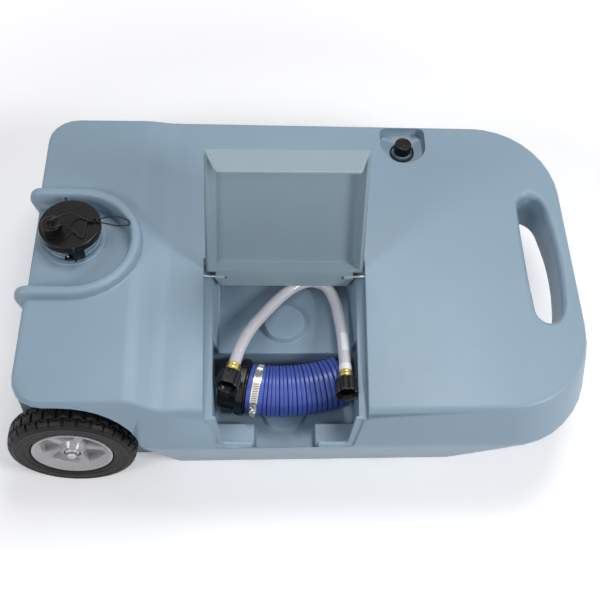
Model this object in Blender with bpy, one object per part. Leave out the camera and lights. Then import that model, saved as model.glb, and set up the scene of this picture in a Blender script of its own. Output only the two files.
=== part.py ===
"""Two-wheeled portable waste water tank with a hose compartment in its top.

Metres, +Z up. X runs from the wheel end (-) to the tow handle end (+), the hose
compartment opens on the -Y side, and the feet and tyres stand on Z = 0. The lid is
open, as the tank is shown. The origin is the middle of the footprint.
"""

import math

import bmesh
import bpy
from mathutils import Matrix, Vector

MM = 0.001

# Clearances
GAP = 0.3 * MM              # between pieces that touch
RUN_GAP = 1.5 * MM          # between the lid and the tank
WALL = 5 * MM               # moulded wall of the tank

# Wheels and axle
TYRE_RADIUS = 101.6 * MM
TYRE_WIDTH = 44 * MM
RIM_RADIUS = 64 * MM
AXLE_RADIUS = 6.35 * MM
AXLE_INSET = 75 * MM        # from the wheel end face to the axle
HUB_LENGTH = 44 * MM
HUB_RADIUS = 17 * MM
HUB_BACK = 4 * MM           # hub's outer end, behind the tyre's side
HUB_RECESS = 5 * MM         # recess in it for the washer
HUB_RECESS_RADIUS = 14 * MM
RIM_WEB = 12 * MM
RIM_POCKETS = 5
RIM_POCKET_DEPTH = 7 * MM   # below the outer side of the web
BUSH_WALL = 2 * MM
WELL_DEPTH_Y = 247 * MM     # inner wall of each wheel well, from the centre line
WELL_CLEARANCE = 32 * MM    # wheel well over the tyre
WASHER_THICKNESS = 2 * MM
SPACER_LENGTH = 7.4 * MM

# Tank body
TOP_Z = 235 * MM
BODY_LENGTH = 890 * MM      # at the top edge
HALF_WIDTH = 291.5 * MM     # at the top edge
END_HALF_WIDTH = 284 * MM   # at the top edge, where the handle corner starts
WAIST_Z = 158 * MM          # height of the widest line
WAIST_OUT = 26 * MM         # how far the waist stands out past the top edge
BASE_IN = 26.5 * MM         # how far the base is drawn in from the top edge
HANDLE_OUT = 8 * MM         # how far the handle end stands out below its top edge
REAR_CORNER = 48 * MM
HANDLE_CORNER_X = 135 * MM
HANDLE_CORNER_Y = 152 * MM
FENDER_RISE = 16 * MM       # the wheel end is higher than the rest
FENDER_INSET = 9.5 * MM
FENDER_START = 165 * MM     # from the wheel end face
FENDER_BLEND = 64 * MM
EDGE_ROUND = 8 * MM
FOOT_PITCH = 102 * MM
FOOT_GROOVE = 50 * MM
FOOT_GROOVE_DEPTH = 8 * MM
FOOT_FIRST = 347 * MM       # first groove, from the wheel end face
FOOT_GROOVES = 3
BELLY_END = 677 * MM        # where the underside starts to climb to the handle
HANDLE_UNDERSIDE_Z = 145 * MM
HANDLE_CLIMB = 94 * MM

# Tow handle slot
SLOT_FROM_END = 54 * MM     # slot centre to the handle end
SLOT_WIDTH = 52 * MM
SLOT_LENGTH = 260 * MM
SLOT_EDGE = 9 * MM

# Spout recess with its horseshoe guard
SPOUT_X = 62 * MM           # from the wheel end face
SPOUT_Y = 31 * MM
GUARD_X = 71 * MM
GUARD_Y = 5 * MM
GUARD_RADIUS = 99 * MM      # middle of the guard's crest
GUARD_CREST = 13 * MM
GUARD_ROUND = 3.2 * MM      # how far the crest's rounding spreads on each side
GUARD_RISE = 17 * MM        # over the raised wheel end
GUARD_FOOT = 8 * MM
GUARD_OVERHANG = 14 * MM    # past the wheel end face
GUARD_NOSE = 20 * MM        # radius of each end, where it turns down
GUARD_TAIL = 72 * MM        # how far the guard runs down the end face
GUARD_LEAN = 13.0           # degrees that the tails lean back to the end face
GUARD_ROOT = 25 * MM        # how deep the ends are rooted in the body
RECESS_Z = 232 * MM
NECK_BORE = 36.5 * MM
NECK_WALL = 6.5 * MM
NECK_HEIGHT = 22 * MM
NECK_FLANGE = 4 * MM
BOSS_HEIGHT = 3 * MM
SPOUT_BOSS_OUT = 13 * MM    # boss round the neck, past the neck's wall
CAP_RADIUS = 50.5 * MM
CAP_THICKNESS = 7.5 * MM
CAP_SKIRT = 6.5 * MM
CAP_ARM_OUT = 3.5 * MM      # how far the hooked arms stand out past the cap
CAP_FIN_OUT = 7 * MM        # finger fin on each arm
OUTLET_X = -24.5 * MM       # hose outlet, from the cap's middle
OUTLET_Y = -15.4 * MM
OUTLET_BORE = 7.5 * MM
OUTLET_RADIUS = 12.4 * MM
OUTLET_HEIGHT = 15 * MM
PIN_RADIUS = 2.5 * MM
SEAL_THICKNESS = 3 * MM
HOSE_CAP_RADIUS = 16 * MM
HOSE_CAP_HEIGHT = 21 * MM
TETHER_DIAMETER = 2.5 * MM

# Vent
VENT_X = 625 * MM           # from the wheel end face
VENT_IN = 51.5 * MM         # from the far top edge
VENT_POCKET_RADIUS = 42 * MM
VENT_POCKET_IN = 9 * MM     # from the far top edge
VENT_POCKET_CORNER = 13 * MM
VENT_POCKET_Z = 215 * MM
VENT_BORE = 8 * MM
VENT_NECK = 11 * MM
VENT_CAP_RADIUS = 15 * MM
VENT_CAP_HEIGHT = 20 * MM
VENT_LOOP_RADIUS = 20 * MM
VENT_LOOP_THICKNESS = 3.5 * MM

# Hose compartment
BAY_X = 411 * MM            # compartment centre, from the wheel end face
BAY_FAR_Y = -10.3 * MM
BAY_FAR_HALF = 132.5 * MM   # half width at the hinge end
BAY_NEAR_HALF = 124.5 * MM  # half width at the front crease
LEDGE_Z = 212 * MM
LEDGE_WIDTH = 13.5 * MM
FAR_LEDGE = 0.6 * MM
SHELF_Z = 165 * MM
SHELF_EDGE_IN = 142.5 * MM  # from the near top edge
TROUGH_Z = 97 * MM
PAD_Z = 125 * MM
PAD_BACK_IN = 43 * MM       # from the near top edge
PAD_SLOPE = 7 * MM
FRONT_INSET = 13 * MM       # front wall of the compartment, in from the side face
SILL_Z = 160 * MM
SILL_IN = 9 * MM            # how much narrower the sill is than the rim, each side
RIM_LOW_Z = 156 * MM
RIM_LOW_HALF = 104.5 * MM
RIM_CORNER = 7 * MM
FRONT_LEDGE = 8 * MM
CHANNEL_HALF = 52 * MM
BOSS_RADIUS = 36 * MM
BOSS_TOP = 33 * MM
SHELF_BOSS_Y = -95 * MM
SHELF_BOSS_RISE = 11 * MM
TROUGH_BOSS_IN = 69.5 * MM  # from the near top edge
TROUGH_BOSS_RISE = 5 * MM

# Lid
HINGE_Y = -33 * MM
HINGE_Z = 216 * MM
LID_OPEN_ANGLE = 96.5       # degrees from shut to the open rest pose
LID_WALL = 3.5 * MM
LID_FLARE = 13 * MM
LID_RIM_Z = 213.5 * MM
LID_STEP_Y = -50 * MM
LID_TAB_REACH = 21 * MM     # past the hinge axis
LID_TAB_HALF = 112 * MM
LID_FLANGE = 78 * MM
LID_FLANGE_LOW_HALF = 103 * MM
KNUCKLE_RADIUS = 5.5 * MM
KNUCKLE_LENGTH = 14 * MM
PIN_SOCKET = 8 * MM

# Sewer hose and its fittings
SEWER_RADIUS = 41.5 * MM
SEWER_ROOT = 38.6 * MM      # radius between the ribs
SEWER_BORE = 36 * MM
SEWER_RIBS = 17
SEWER_STRETCH = 0.25        # how much the ribs open out towards the free end
SEWER_BEND = 300 * MM       # radius of the bend right of its nearest point
SEWER_LEFT_BEND = 150 * MM  # radius left of it
SEWER_X = -12 * MM          # nearest point of the bend, from the bay centre
SEWER_IN = 83.5 * MM        # and from the near top edge
SEWER_LEFT_ANGLE = -11.5
SEWER_RIGHT_ANGLE = 20.0
CUFF_OUT = 15 * MM          # plain cuff from the clamp to the fitting
CUFF_IN = 18 * MM           # and from the clamp to the first rib
LUG_RING_RADIUS = 46.5 * MM
LUG_RING_WIDTH = 12 * MM
ADAPTER_RADIUS = 40 * MM
ADAPTER_LENGTH = 42 * MM
CLAMP_WIDTH = 12.7 * MM
CLAMP_THICKNESS = 1 * MM
CLAMP_ANGLE = 3             # of the screw, from the near side upwards

# Rinse hose and its fittings
RINSE_DIAMETER = 19 * MM
FERRULE_RADIUS = 11.5 * MM
FERRULE_LENGTH = 15 * MM
COUPLING_RADIUS = 18.2 * MM
COUPLING_LENGTH = 28 * MM
COUPLING_MOUTH = 13.3 * MM
# Route of the rinse hose: from the bay centre in X, then Y and Z, chosen by hand
RINSE_ROUTE = (
    (-80, -193, 203),
    (-71, -160, 200),
    (-56, -124, 194.5),
    (-37, -93, 188.5),
    (-17, -66.5, 186),
    (4, -43.5, 185),
    (24, -28.5, 185),
    (46, -22.5, 186),
    (67, -29, 185),
    (79, -46, 184),
    (86, -70, 184.5),
    (90, -100, 187.5),
    (92.5, -131, 193.5),
    (93.5, -164, 200),
    (94, -198, 205.5),
    (94, -209, 207),
)

# Places worked out from the sizes above
OVERALL_LENGTH = BODY_LENGTH + HANDLE_OUT + TYRE_RADIUS - AXLE_INSET
REAR_X = TYRE_RADIUS - AXLE_INSET - OVERALL_LENGTH / 2
FRONT_X = REAR_X + BODY_LENGTH
AXLE_X = REAR_X + AXLE_INSET
FENDER_TOP = TOP_Z + FENDER_RISE
GUARD_TOP = FENDER_TOP + GUARD_RISE
SIDE_SLOPE = WAIST_OUT / (TOP_Z - WAIST_Z)
SIDE_ANGLE = math.atan(SIDE_SLOPE)
BAY_CENTRE = REAR_X + BAY_X
SPOUT = Vector((REAR_X + SPOUT_X, SPOUT_Y, 0))
VENT = Vector((REAR_X + VENT_X, HALF_WIDTH - VENT_IN, 0))
GUARD = Vector((REAR_X + GUARD_X, GUARD_Y, 0))
SLOT_X = FRONT_X - SLOT_FROM_END
NEAR_EDGE_Y = -HALF_WIDTH
SHELF_EDGE_Y = NEAR_EDGE_Y + SHELF_EDGE_IN
PAD_BACK_Y = NEAR_EDGE_Y + PAD_BACK_IN
TROUGH_BOSS_Y = NEAR_EDGE_Y + TROUGH_BOSS_IN
NECK_RADIUS = NECK_BORE + NECK_WALL
BOSS_TOP_Z = RECESS_Z + BOSS_HEIGHT
NECK_FOOT_Z = BOSS_TOP_Z + SEAL_THICKNESS + 2 * GAP
NECK_TOP_Z = NECK_FOOT_Z + NECK_HEIGHT
CAP_PLATE_Z = NECK_TOP_Z + SEAL_THICKNESS + 2 * GAP
CAP_TOP_Z = CAP_PLATE_Z + CAP_THICKNESS
PIN_Z = NECK_FOOT_Z + NECK_FLANGE + 6.5 * MM
SEWER_Z = TROUGH_Z + LUG_RING_RADIUS + GAP
OUTSIDE = 30 * MM           # how far a cutter runs past a face


def clear_scene():
    for item in list(bpy.data.objects):
        bpy.data.objects.remove(item, do_unlink=True)


def material(name, colour, roughness, metallic=0.0):
    """A Principled material from an sRGB colour of three numbers from 0 to 255."""
    made = bpy.data.materials.get(name)
    if made:
        return made
    made = bpy.data.materials.new(name)
    made.use_nodes = True
    shader = made.node_tree.nodes["Principled BSDF"]
    linear = [pow((value / 255 + 0.055) / 1.055, 2.4) for value in colour]
    shader.inputs["Base Color"].default_value = (*linear, 1)
    shader.inputs["Roughness"].default_value = roughness
    shader.inputs["Metallic"].default_value = metallic
    return made


def tank_plastic():
    return material("tank_polyethylene", (143, 164, 178), 0.5)


def black_plastic():
    return material("black_plastic", (38, 35, 37), 0.4)


def black_rubber():
    return material("black_rubber", (42, 42, 44), 0.75)


def rim_plastic():
    return material("rim_grey_plastic", (172, 170, 172), 0.38)


def steel():
    return material("zinc_plated_steel", (186, 188, 192), 0.28, 1.0)


def brass():
    return material("brass", (201, 178, 88), 0.25, 1.0)


def sewer_vinyl():
    return material("sewer_hose_vinyl", (70, 88, 176), 0.38)


def rinse_vinyl():
    return material("rinse_hose_vinyl", (190, 186, 196), 0.35)


def nylon():
    return material("natural_nylon", (225, 222, 212), 0.5)


# Mesh helpers


def finish(mesh, name, stuff=None, sharp=35):
    """Put a bmesh in a new object, with its faces pointing out.

    A piece without a material is a guide: a form that is only cut from or joined to
    another one.
    """
    bmesh.ops.recalc_face_normals(mesh, faces=mesh.faces)
    data = bpy.data.meshes.new(name)
    mesh.to_mesh(data)
    mesh.free()
    piece = bpy.data.objects.new(name, data)
    bpy.context.scene.collection.objects.link(piece)
    if stuff is None:
        piece.hide_render = True
        piece.display_type = "WIRE"
        piece.hide_set(True)
        return piece
    data.materials.append(stuff)
    data.shade_smooth()
    data.set_sharp_from_angle(angle=math.radians(sharp))
    return piece


def loft(rings, name, stuff=None, closed=False):
    """Skin equal rings of points. Open lofts get flat end caps, closed ones join up."""
    mesh = bmesh.new()
    rows = [[mesh.verts.new(point) for point in ring] for ring in rings]
    count = len(rows[0])
    pairs = list(zip(rows, rows[1:]))
    if closed:
        pairs.append((rows[-1], rows[0]))
    for low, high in pairs:
        for i in range(count):
            j = (i + 1) % count
            mesh.faces.new((low[i], low[j], high[j], high[i]))
    if not closed:
        mesh.faces.new(rows[0])
        mesh.faces.new(rows[-1])
    return finish(mesh, name, stuff)


def prism(outline, low, high, axis, name, stuff=None):
    """Extrude a flat outline along X, Y or Z between two places."""
    place = {
        "X": lambda a, b, t: (t, a, b),
        "Y": lambda a, b, t: (a, t, b),
        "Z": lambda a, b, t: (a, b, t),
    }[axis]
    rings = [[place(a, b, t) for a, b in outline] for t in (low, high)]
    return loft(rings, name, stuff)


def lathe(profile, frame, sides, name, stuff=None):
    """Turn a closed (radius, height) outline round the Z axis of a frame."""
    rings = []
    for i in range(sides):
        turn = 2 * math.pi * i / sides
        ring = [
            frame @ Vector((r * math.cos(turn), r * math.sin(turn), h)) for r, h in profile
        ]
        rings.append(ring)
    return loft(rings, name, stuff, closed=True)


def turned(steps, frame, sides, name, stuff=None):
    """A solid of round sections along the Z axis of a frame, given as (radius, height)."""
    turns = [2 * math.pi * i / sides for i in range(sides)]
    rings = []
    for radius, height in steps:
        rings.append(
            [frame @ Vector((radius * math.cos(t), radius * math.sin(t), height)) for t in turns]
        )
    return loft(rings, name, stuff)


def rod(frame, radius, low, high, sides, name, stuff=None, chamfer=0.0):
    """A round bar along the Z axis of a frame, with an optional chamfer at both ends."""
    steps = [(radius - chamfer, low), (radius, low + chamfer)]
    steps += [(radius, high - chamfer), (radius - chamfer, high)]
    if not chamfer:
        steps = [(radius, low), (radius, high)]
    return turned(steps, frame, sides, name, stuff)


def frame_at(place, direction, up=Vector((0, 0, 1))):
    """A frame at a place with its Z axis along a direction."""
    z = Vector(direction).normalized()
    x = Vector(up).cross(z)
    if x.length < 1e-6:
        x = Vector((1, 0, 0))
    x.normalize()
    y = z.cross(x)
    return Matrix.Translation(place) @ Matrix((x, y, z)).transposed().to_4x4()


def modify(piece, cutter, operation):
    """Add an exact Boolean with another object."""
    step = piece.modifiers.new(cutter.name, "BOOLEAN")
    step.operation = operation
    step.solver = "EXACT"
    step.object = cutter


def cut(piece, *cutters):
    for cutter in cutters:
        modify(piece, cutter, "DIFFERENCE")


def join(piece, *others):
    for other in others:
        modify(piece, other, "UNION")


def ease(value):
    """Smooth step from 0 to 1."""
    value = min(max(value, 0.0), 1.0)
    return value * value * (3 - 2 * value)


def arc(centre, radius_x, radius_y, start, end, steps):
    """Points of an elliptic arc, from one angle in degrees to another."""
    points = []
    for i in range(steps + 1):
        turn = math.radians(start + (end - start) * i / steps)
        points.append(
            (centre[0] + radius_x * math.cos(turn), centre[1] + radius_y * math.sin(turn))
        )
    return points


def grow(outline, distance):
    """Move each side of an anticlockwise outline outwards, keeping its corners."""
    if not distance:
        return list(outline)
    corners = [Vector(point) for point in outline]
    grown = []
    for i, corner in enumerate(corners):
        before = (corner - corners[i - 1]).normalized()
        after = (corners[(i + 1) % len(corners)] - corner).normalized()
        normal_before = Vector((before.y, -before.x))
        normal_after = Vector((after.y, -after.x))
        middle = normal_before + normal_after
        grown.append(tuple(corner + middle * (2 * distance / middle.length_squared)))
    return grown


# Tank body


def fender_share(x):
    """1 on the raised wheel end, falling to 0 along the body."""
    return 1 - ease((x - REAR_X - FENDER_START) / FENDER_BLEND)


def top_z(x):
    return TOP_Z + FENDER_RISE * fender_share(x)


def half_width(x):
    """Half the width of the top edge at X, before the wheel end is drawn in."""
    start = REAR_X + FENDER_START
    end = FRONT_X - HANDLE_CORNER_X
    share = min(max((x - start) / (end - start), 0.0), 1.0)
    return HALF_WIDTH + (END_HALF_WIDTH - HALF_WIDTH) * share


def side_offset(z):
    """How far the side stands out past the top edge at a height."""
    if z > WAIST_Z:
        return (TOP_Z - z) * SIDE_SLOPE
    return WAIST_OUT - (WAIST_Z - z) / WAIST_Z * (WAIST_OUT + BASE_IN)


def body_ring(height, side, rear, front, inset):
    """The body's outline at one level, wheel end first, as matching pairs of points.

    height gives Z from X, side, rear and front move the outline outwards, and inset
    draws in the raised wheel end.
    """
    rear_x = REAR_X - rear
    front_x = FRONT_X + front

    def edge(x):
        return half_width(x) + side - inset * fender_share(x)

    corner_x = rear_x + REAR_CORNER
    half = arc((corner_x, edge(corner_x) - REAR_CORNER), REAR_CORNER, REAR_CORNER, 180, 90, 5)
    for i in range(6):
        x = REAR_X + FENDER_START + FENDER_BLEND * i / 5
        half.append((x, edge(x)))
    end_x = front_x - HANDLE_CORNER_X
    end_y = edge(end_x) - HANDLE_CORNER_Y
    half += arc((end_x, end_y), HANDLE_CORNER_X, HANDLE_CORNER_Y, 90, 0, 9)
    near = [(x, -y, height(x)) for x, y in half]
    far = [(x, y, height(x)) for x, y in half]
    return near, far


def body_loft(levels, name, stuff=None):
    """Skin the body's levels, and close its top and bottom with strips across Y."""
    mesh = bmesh.new()
    rows = []
    for near, far in levels:
        loop = near + list(reversed(far))
        rows.append([mesh.verts.new(point) for point in loop])
    count = len(rows[0])
    half = count // 2
    for low, high in zip(rows, rows[1:]):
        for i in range(count):
            j = (i + 1) % count
            mesh.faces.new((low[i], low[j], high[j], high[i]))
    for row in (rows[0], rows[-1]):
        for i in range(half - 1):
            mesh.faces.new((row[i], row[i + 1], row[count - 2 - i], row[count - 1 - i]))
    return finish(mesh, name, stuff)


def outer_body():
    """The outside of the tank, before anything is cut from it."""

    def flat(z):
        return lambda x: z

    def below_top(depth):
        return lambda x: top_z(x) - depth

    edge = EDGE_ROUND
    base = -BASE_IN
    levels = [
        body_ring(flat(0), base - edge, -14 * MM, -14 * MM, 5 * MM),
        body_ring(flat(0.35 * edge), base - 0.3 * edge, -10 * MM, -9 * MM, 5 * MM),
        body_ring(flat(1.4 * edge), side_offset(1.4 * edge), -7 * MM, -6 * MM, 5 * MM),
        body_ring(flat(WAIST_Z - edge), side_offset(WAIST_Z - edge), 0, HANDLE_OUT, 5 * MM),
        body_ring(
            flat(WAIST_Z + edge / 2), side_offset(WAIST_Z + edge / 2), 0, HANDLE_OUT, 5 * MM
        ),
        body_ring(flat(TOP_Z - 15 * MM), side_offset(TOP_Z - 15 * MM), 0, 2 * MM, 5 * MM),
        body_ring(below_top(edge), side_offset(TOP_Z - edge), 0, 0, FENDER_INSET),
        body_ring(below_top(0.3 * edge), 0, -2 * MM, -2 * MM, FENDER_INSET),
        body_ring(below_top(0), -0.7 * edge, -8 * MM, -8 * MM, FENDER_INSET),
    ]
    return body_loft(levels, "tank_shell", tank_plastic())


def inner_body():
    """The hollow of the tank, one wall inside the outer form."""
    floor = FOOT_GROOVE_DEPTH + WALL

    def flat(z):
        return lambda x: z

    side = -1.1 * WALL
    levels = [
        body_ring(flat(floor), side_offset(floor) + 2 * side, -16 * MM, -16 * MM, 5 * MM),
        body_ring(flat(WAIST_Z), side_offset(WAIST_Z) + side, -WALL, HANDLE_OUT - WALL, 5 * MM),
        body_ring(
            lambda x: top_z(x) - WALL, 1.6 * side, -2 * WALL, -2 * WALL, FENDER_INSET
        ),
    ]
    return body_loft(levels, "tank_hollow")


def guard_end():
    """Crest and root of the guard's end in X and Z, from its tip up to its straight part.

    The last number of each is the share of the full section.
    """
    lean = math.radians(GUARD_LEAN)
    nose_x = REAR_X - GUARD_OVERHANG + GUARD_NOSE
    nose_z = GUARD_TOP - GUARD_NOSE
    root_x = REAR_X + GUARD_ROOT
    foot_z = RECESS_Z - 14 * MM
    low_x = nose_x - GUARD_NOSE * math.cos(lean)
    low_z = nose_z - GUARD_NOSE * math.sin(lean)
    stations = []
    for share in (1.0, 0.66, 0.33):
        x = low_x + GUARD_TAIL * share * math.sin(lean)
        z = low_z - GUARD_TAIL * share * math.cos(lean)
        root_z = foot_z - 12 * MM - 30 * MM * share
        stations.append((x, z, root_x, root_z, 1 - 0.35 * share))
    steps = 6
    for i in range(steps + 1):
        turn = math.radians(180 + GUARD_LEAN - (90 + GUARD_LEAN) * i / steps)
        x = nose_x + GUARD_NOSE * math.cos(turn)
        z = nose_z + GUARD_NOSE * math.sin(turn)
        stations.append((x, z, root_x, foot_z - 12 * MM * (1 - i / steps), 1.0))
    return stations


def guard_ring(crest, root, out, size):
    """One section of the guard: a soft crest, and flanks that spread down to its root."""
    half = GUARD_CREST / 2
    deep = (root - crest).length
    down = (root - crest) / deep
    flank = [
        (half - GUARD_ROUND, 0),
        (half - 0.2 * GUARD_ROUND, 0.35 * GUARD_ROUND),
        (half + 0.5 * GUARD_ROUND, 1.2 * GUARD_ROUND),
        (half + GUARD_ROUND, 2.8 * GUARD_ROUND),
    ]
    section = [(-across * size, depth * size) for across, depth in flank]
    section.append((-(half + GUARD_FOOT) * size, deep))
    section.append(((half + GUARD_FOOT) * size, deep))
    section += [(across * size, depth * size) for across, depth in reversed(flank)]
    return [crest + out * across + down * depth for across, depth in section]


def guard():
    """The horseshoe ridge round the spout, whose ends round over the wheel end."""
    rings = []
    far = Vector((0, 1, 0))
    for side in (1, -1):
        middle = far * (GUARD.y + side * GUARD_RADIUS)
        end = [
            guard_ring(Vector((x, 0, z)) + middle, Vector((rx, 0, rz)) + middle, far * side, size)
            for x, z, rx, rz, size in guard_end()
        ]
        if side > 0:
            rings += end
            for turn in (math.radians(90 - 180 * i / 16) for i in range(17)):
                out = Vector((math.cos(turn), math.sin(turn), 0))
                crest = GUARD + out * GUARD_RADIUS
                crest.z = GUARD_TOP
                root = Vector((crest.x, crest.y, RECESS_Z - 14 * MM))
                rings.append(guard_ring(crest, root, out, 1.0))
        else:
            rings += reversed(end)
    return loft(rings, "guard_ridge")


def recess(grown):
    """The floor inside the guard, open at the wheel end."""
    low = GUARD_RADIUS - GUARD_CREST / 2 - GUARD_FOOT + 1 * MM + grown
    high = GUARD_RADIUS - GUARD_CREST / 2 - GUARD_ROUND - 0.7 * MM + grown
    rings = []
    for radius, z in (
        (low, RECESS_Z - grown),
        (high, GUARD_TOP - 2.8 * GUARD_ROUND),
        (high, GUARD_TOP + OUTSIDE),
    ):
        outline = arc(GUARD, radius, radius, 90, -90, 16)
        outline.append((REAR_X - 2 * MM, GUARD.y - radius))
        outline.append((REAR_X - 2 * MM, GUARD.y + radius))
        rings.append([(x, y, z) for x, y in outline])
    return loft(rings, f"recess_{grown > 0}")


def wheel_well(side, grown):
    """Arched well over one wheel, open at the wheel end, the side and below."""
    radius = TYRE_RADIUS + WELL_CLEARANCE + grown
    outline = arc((AXLE_X, TYRE_RADIUS), radius, radius, 35, 90, 7)
    outline.append((REAR_X - 60 * MM, outline[-1][1] + 2 * MM))
    outline.append((REAR_X - 60 * MM, -OUTSIDE))
    outline.append((outline[0][0] + 66 * MM, -OUTSIDE))
    low = (WELL_DEPTH_Y - grown) * side
    high = (HALF_WIDTH + WAIST_OUT + OUTSIDE) * side
    return prism(outline, low, high, "Y", f"well_{side}_{grown > 0}")


def belly_cutter(grown):
    """Space under the tow handle, where the underside climbs away from the floor."""
    start = REAR_X + BELLY_END
    top = HANDLE_UNDERSIDE_Z
    outline = [
        (start, -OUTSIDE),
        (FRONT_X + 60 * MM, -OUTSIDE),
        (FRONT_X + 60 * MM, top + 3 * MM),
        (start + HANDLE_CLIMB + 30 * MM, top),
        (start + HANDLE_CLIMB, top - 10 * MM),
        (start + 12 * MM, 8 * MM),
        (start + 6 * MM, 2 * MM),
        (start, -2 * MM),
    ]
    reach = HALF_WIDTH + WAIST_OUT + OUTSIDE
    return prism(grow(outline, grown), -reach, reach, "Y", f"belly_{grown > 0}")


def slot_cutter(grown):
    """Tow handle slot, with rounded edges at the top and underside."""
    radius = SLOT_WIDTH / 2 + grown
    straight = SLOT_LENGTH / 2 - SLOT_WIDTH / 2
    low = HANDLE_UNDERSIDE_Z - 2 * MM
    steps = [(-OUTSIDE, 1.0), (0, 1.0), (0.3, 0.45), (1.0, 0.0)]
    levels = []
    if grown:
        levels = [(low - OUTSIDE, 0.0), (TOP_Z + OUTSIDE, 0.0)]
    else:
        for up, out in steps:
            rise = up if up < 0 else up * SLOT_EDGE
            levels.append((low + rise, out * SLOT_EDGE))
        for up, out in reversed(steps):
            rise = up if up < 0 else up * SLOT_EDGE
            levels.append((TOP_Z - rise, out * SLOT_EDGE))
    rings = []
    for z, out in levels:
        size = radius + out
        outline = arc((SLOT_X, straight), size, size, 0, 180, 10)
        outline += arc((SLOT_X, -straight), size, size, 180, 360, 10)
        rings.append([(x, y, z) for x, y in outline])
    return loft(rings, f"slot_{grown > 0}")


def vent_pocket(grown):
    """D-shaped pocket round the vent, just inside the far edge."""
    corner_y = HALF_WIDTH - VENT_POCKET_IN - VENT_POCKET_CORNER + grown
    rings = []
    for z, out in (
        (VENT_POCKET_Z - grown, 0.0),
        (TOP_Z - 2 * MM, 2 * MM),
        (TOP_Z + OUTSIDE, 4 * MM),
    ):
        radius = VENT_POCKET_RADIUS - 4 * MM + grown + out
        across = radius - VENT_POCKET_CORNER
        size = VENT_POCKET_CORNER
        outline = arc(VENT, radius, radius, 180, 360, 12)
        outline += arc((VENT.x + across, corner_y), size, size, 0, 90, 4)
        outline += arc((VENT.x - across, corner_y), size, size, 90, 180, 4)
        rings.append([(x, y, z) for x, y in outline])
    return loft(rings, f"vent_pocket_{grown > 0}")


def foot_grooves():
    """Grooves across the underside that leave the feet between them."""
    grooves = []
    reach = HALF_WIDTH + WAIST_OUT + OUTSIDE
    for i in range(FOOT_GROOVES):
        start = REAR_X + FOOT_FIRST + FOOT_PITCH * i
        end = start + FOOT_GROOVE
        depth = FOOT_GROOVE_DEPTH
        outline = [
            (start - depth, -OUTSIDE),
            (end + depth, -OUTSIDE),
            (end + 0.6 * depth, 0),
            (end - 0.6 * depth, depth),
            (start + 0.6 * depth, depth),
            (start - 0.6 * depth, 0),
        ]
        grooves.append(prism(outline, -reach, reach, "Y", f"groove_{i}"))
    return grooves


# Hose compartment


def bay_half(y):
    """Half the width of the compartment's rim at Y."""
    crease = -HALF_WIDTH
    share = (BAY_FAR_Y - y) / (BAY_FAR_Y - crease)
    return BAY_FAR_HALF + (BAY_NEAR_HALF - BAY_FAR_HALF) * share


def side_y(z, inwards=0.0):
    """Y of the near side's upper face at a height, moved inwards."""
    return -(HALF_WIDTH + (TOP_Z - z) * SIDE_SLOPE) + inwards


def bay_rebate(grown):
    """The step round the compartment's top that the lid sits in."""
    near = -HALF_WIDTH - WAIST_OUT - OUTSIDE
    far = BAY_FAR_Y + grown
    outline = [
        (BAY_CENTRE - bay_half(near) - grown, near),
        (BAY_CENTRE + bay_half(near) + grown, near),
        (BAY_CENTRE + bay_half(far) + grown, far),
        (BAY_CENTRE - bay_half(far) - grown, far),
    ]
    low = LEDGE_Z - grown
    return prism(outline, low, TOP_Z + OUTSIDE, "Z", f"rebate_{grown > 0}")


def front_opening(low_z, low_half, shrink, inwards, grown):
    """The compartment's way out through the near side face, narrower below."""
    half = BAY_NEAR_HALF - shrink + grown
    low = low_half + grown
    bottom = low_z - grown
    corner = low + (half - low) * RIM_CORNER / (TOP_Z - bottom)
    outline = [
        (-half, TOP_Z + OUTSIDE),
        (-half, TOP_Z),
        (-corner, bottom + RIM_CORNER),
        (-low + 0.25 * RIM_CORNER, bottom + 0.3 * RIM_CORNER),
        (-low + RIM_CORNER, bottom),
        (low - RIM_CORNER, bottom),
        (low - 0.25 * RIM_CORNER, bottom + 0.3 * RIM_CORNER),
        (corner, bottom + RIM_CORNER),
        (half, TOP_Z),
        (half, TOP_Z + OUTSIDE),
    ]
    outer = [(BAY_CENTRE + x, side_y(z) - OUTSIDE, z) for x, z in outline]
    inner = [(BAY_CENTRE + x, side_y(z, inwards + grown), z) for x, z in outline]
    name = f"front_{shrink > 0}_{grown > 0}"
    return loft([outer, inner], name)


def bay_shelf(grown):
    """The shallow far part of the compartment, with drafted side walls."""
    draft = 0.2
    profile = [
        (BAY_FAR_Y - FAR_LEDGE + grown, TOP_Z + OUTSIDE),
        (BAY_FAR_Y - FAR_LEDGE + grown, LEDGE_Z),
        (BAY_FAR_Y - FAR_LEDGE + grown, SHELF_Z - grown),
        (SHELF_EDGE_Y - 8 * MM, SHELF_Z - grown),
        (SHELF_EDGE_Y - 8 * MM, LEDGE_Z),
        (SHELF_EDGE_Y - 8 * MM, TOP_Z + OUTSIDE),
    ]
    return tapered_profile(profile, draft, SHELF_EDGE_Y, grown, "shelf")


def tapered_profile(profile, draft, limit_y, grown, name):
    """Extrude a (Y, Z) profile across the bay, narrower with depth."""
    sides = []
    for side in (-1, 1):
        ring = []
        for y, z in profile:
            half = bay_half(y) - LEDGE_WIDTH + grown
            if z < LEDGE_Z:
                half -= draft * (LEDGE_Z - z)
            ring.append((BAY_CENTRE + side * half, y, z))
        sides.append(ring)
    return loft(sides, f"bay_{name}_{grown > 0}")


def front_face_y(z, inset):
    """Y of a wall that follows the near side face, above and below its waist."""
    return NEAR_EDGE_Y - side_offset(z) + inset


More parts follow.
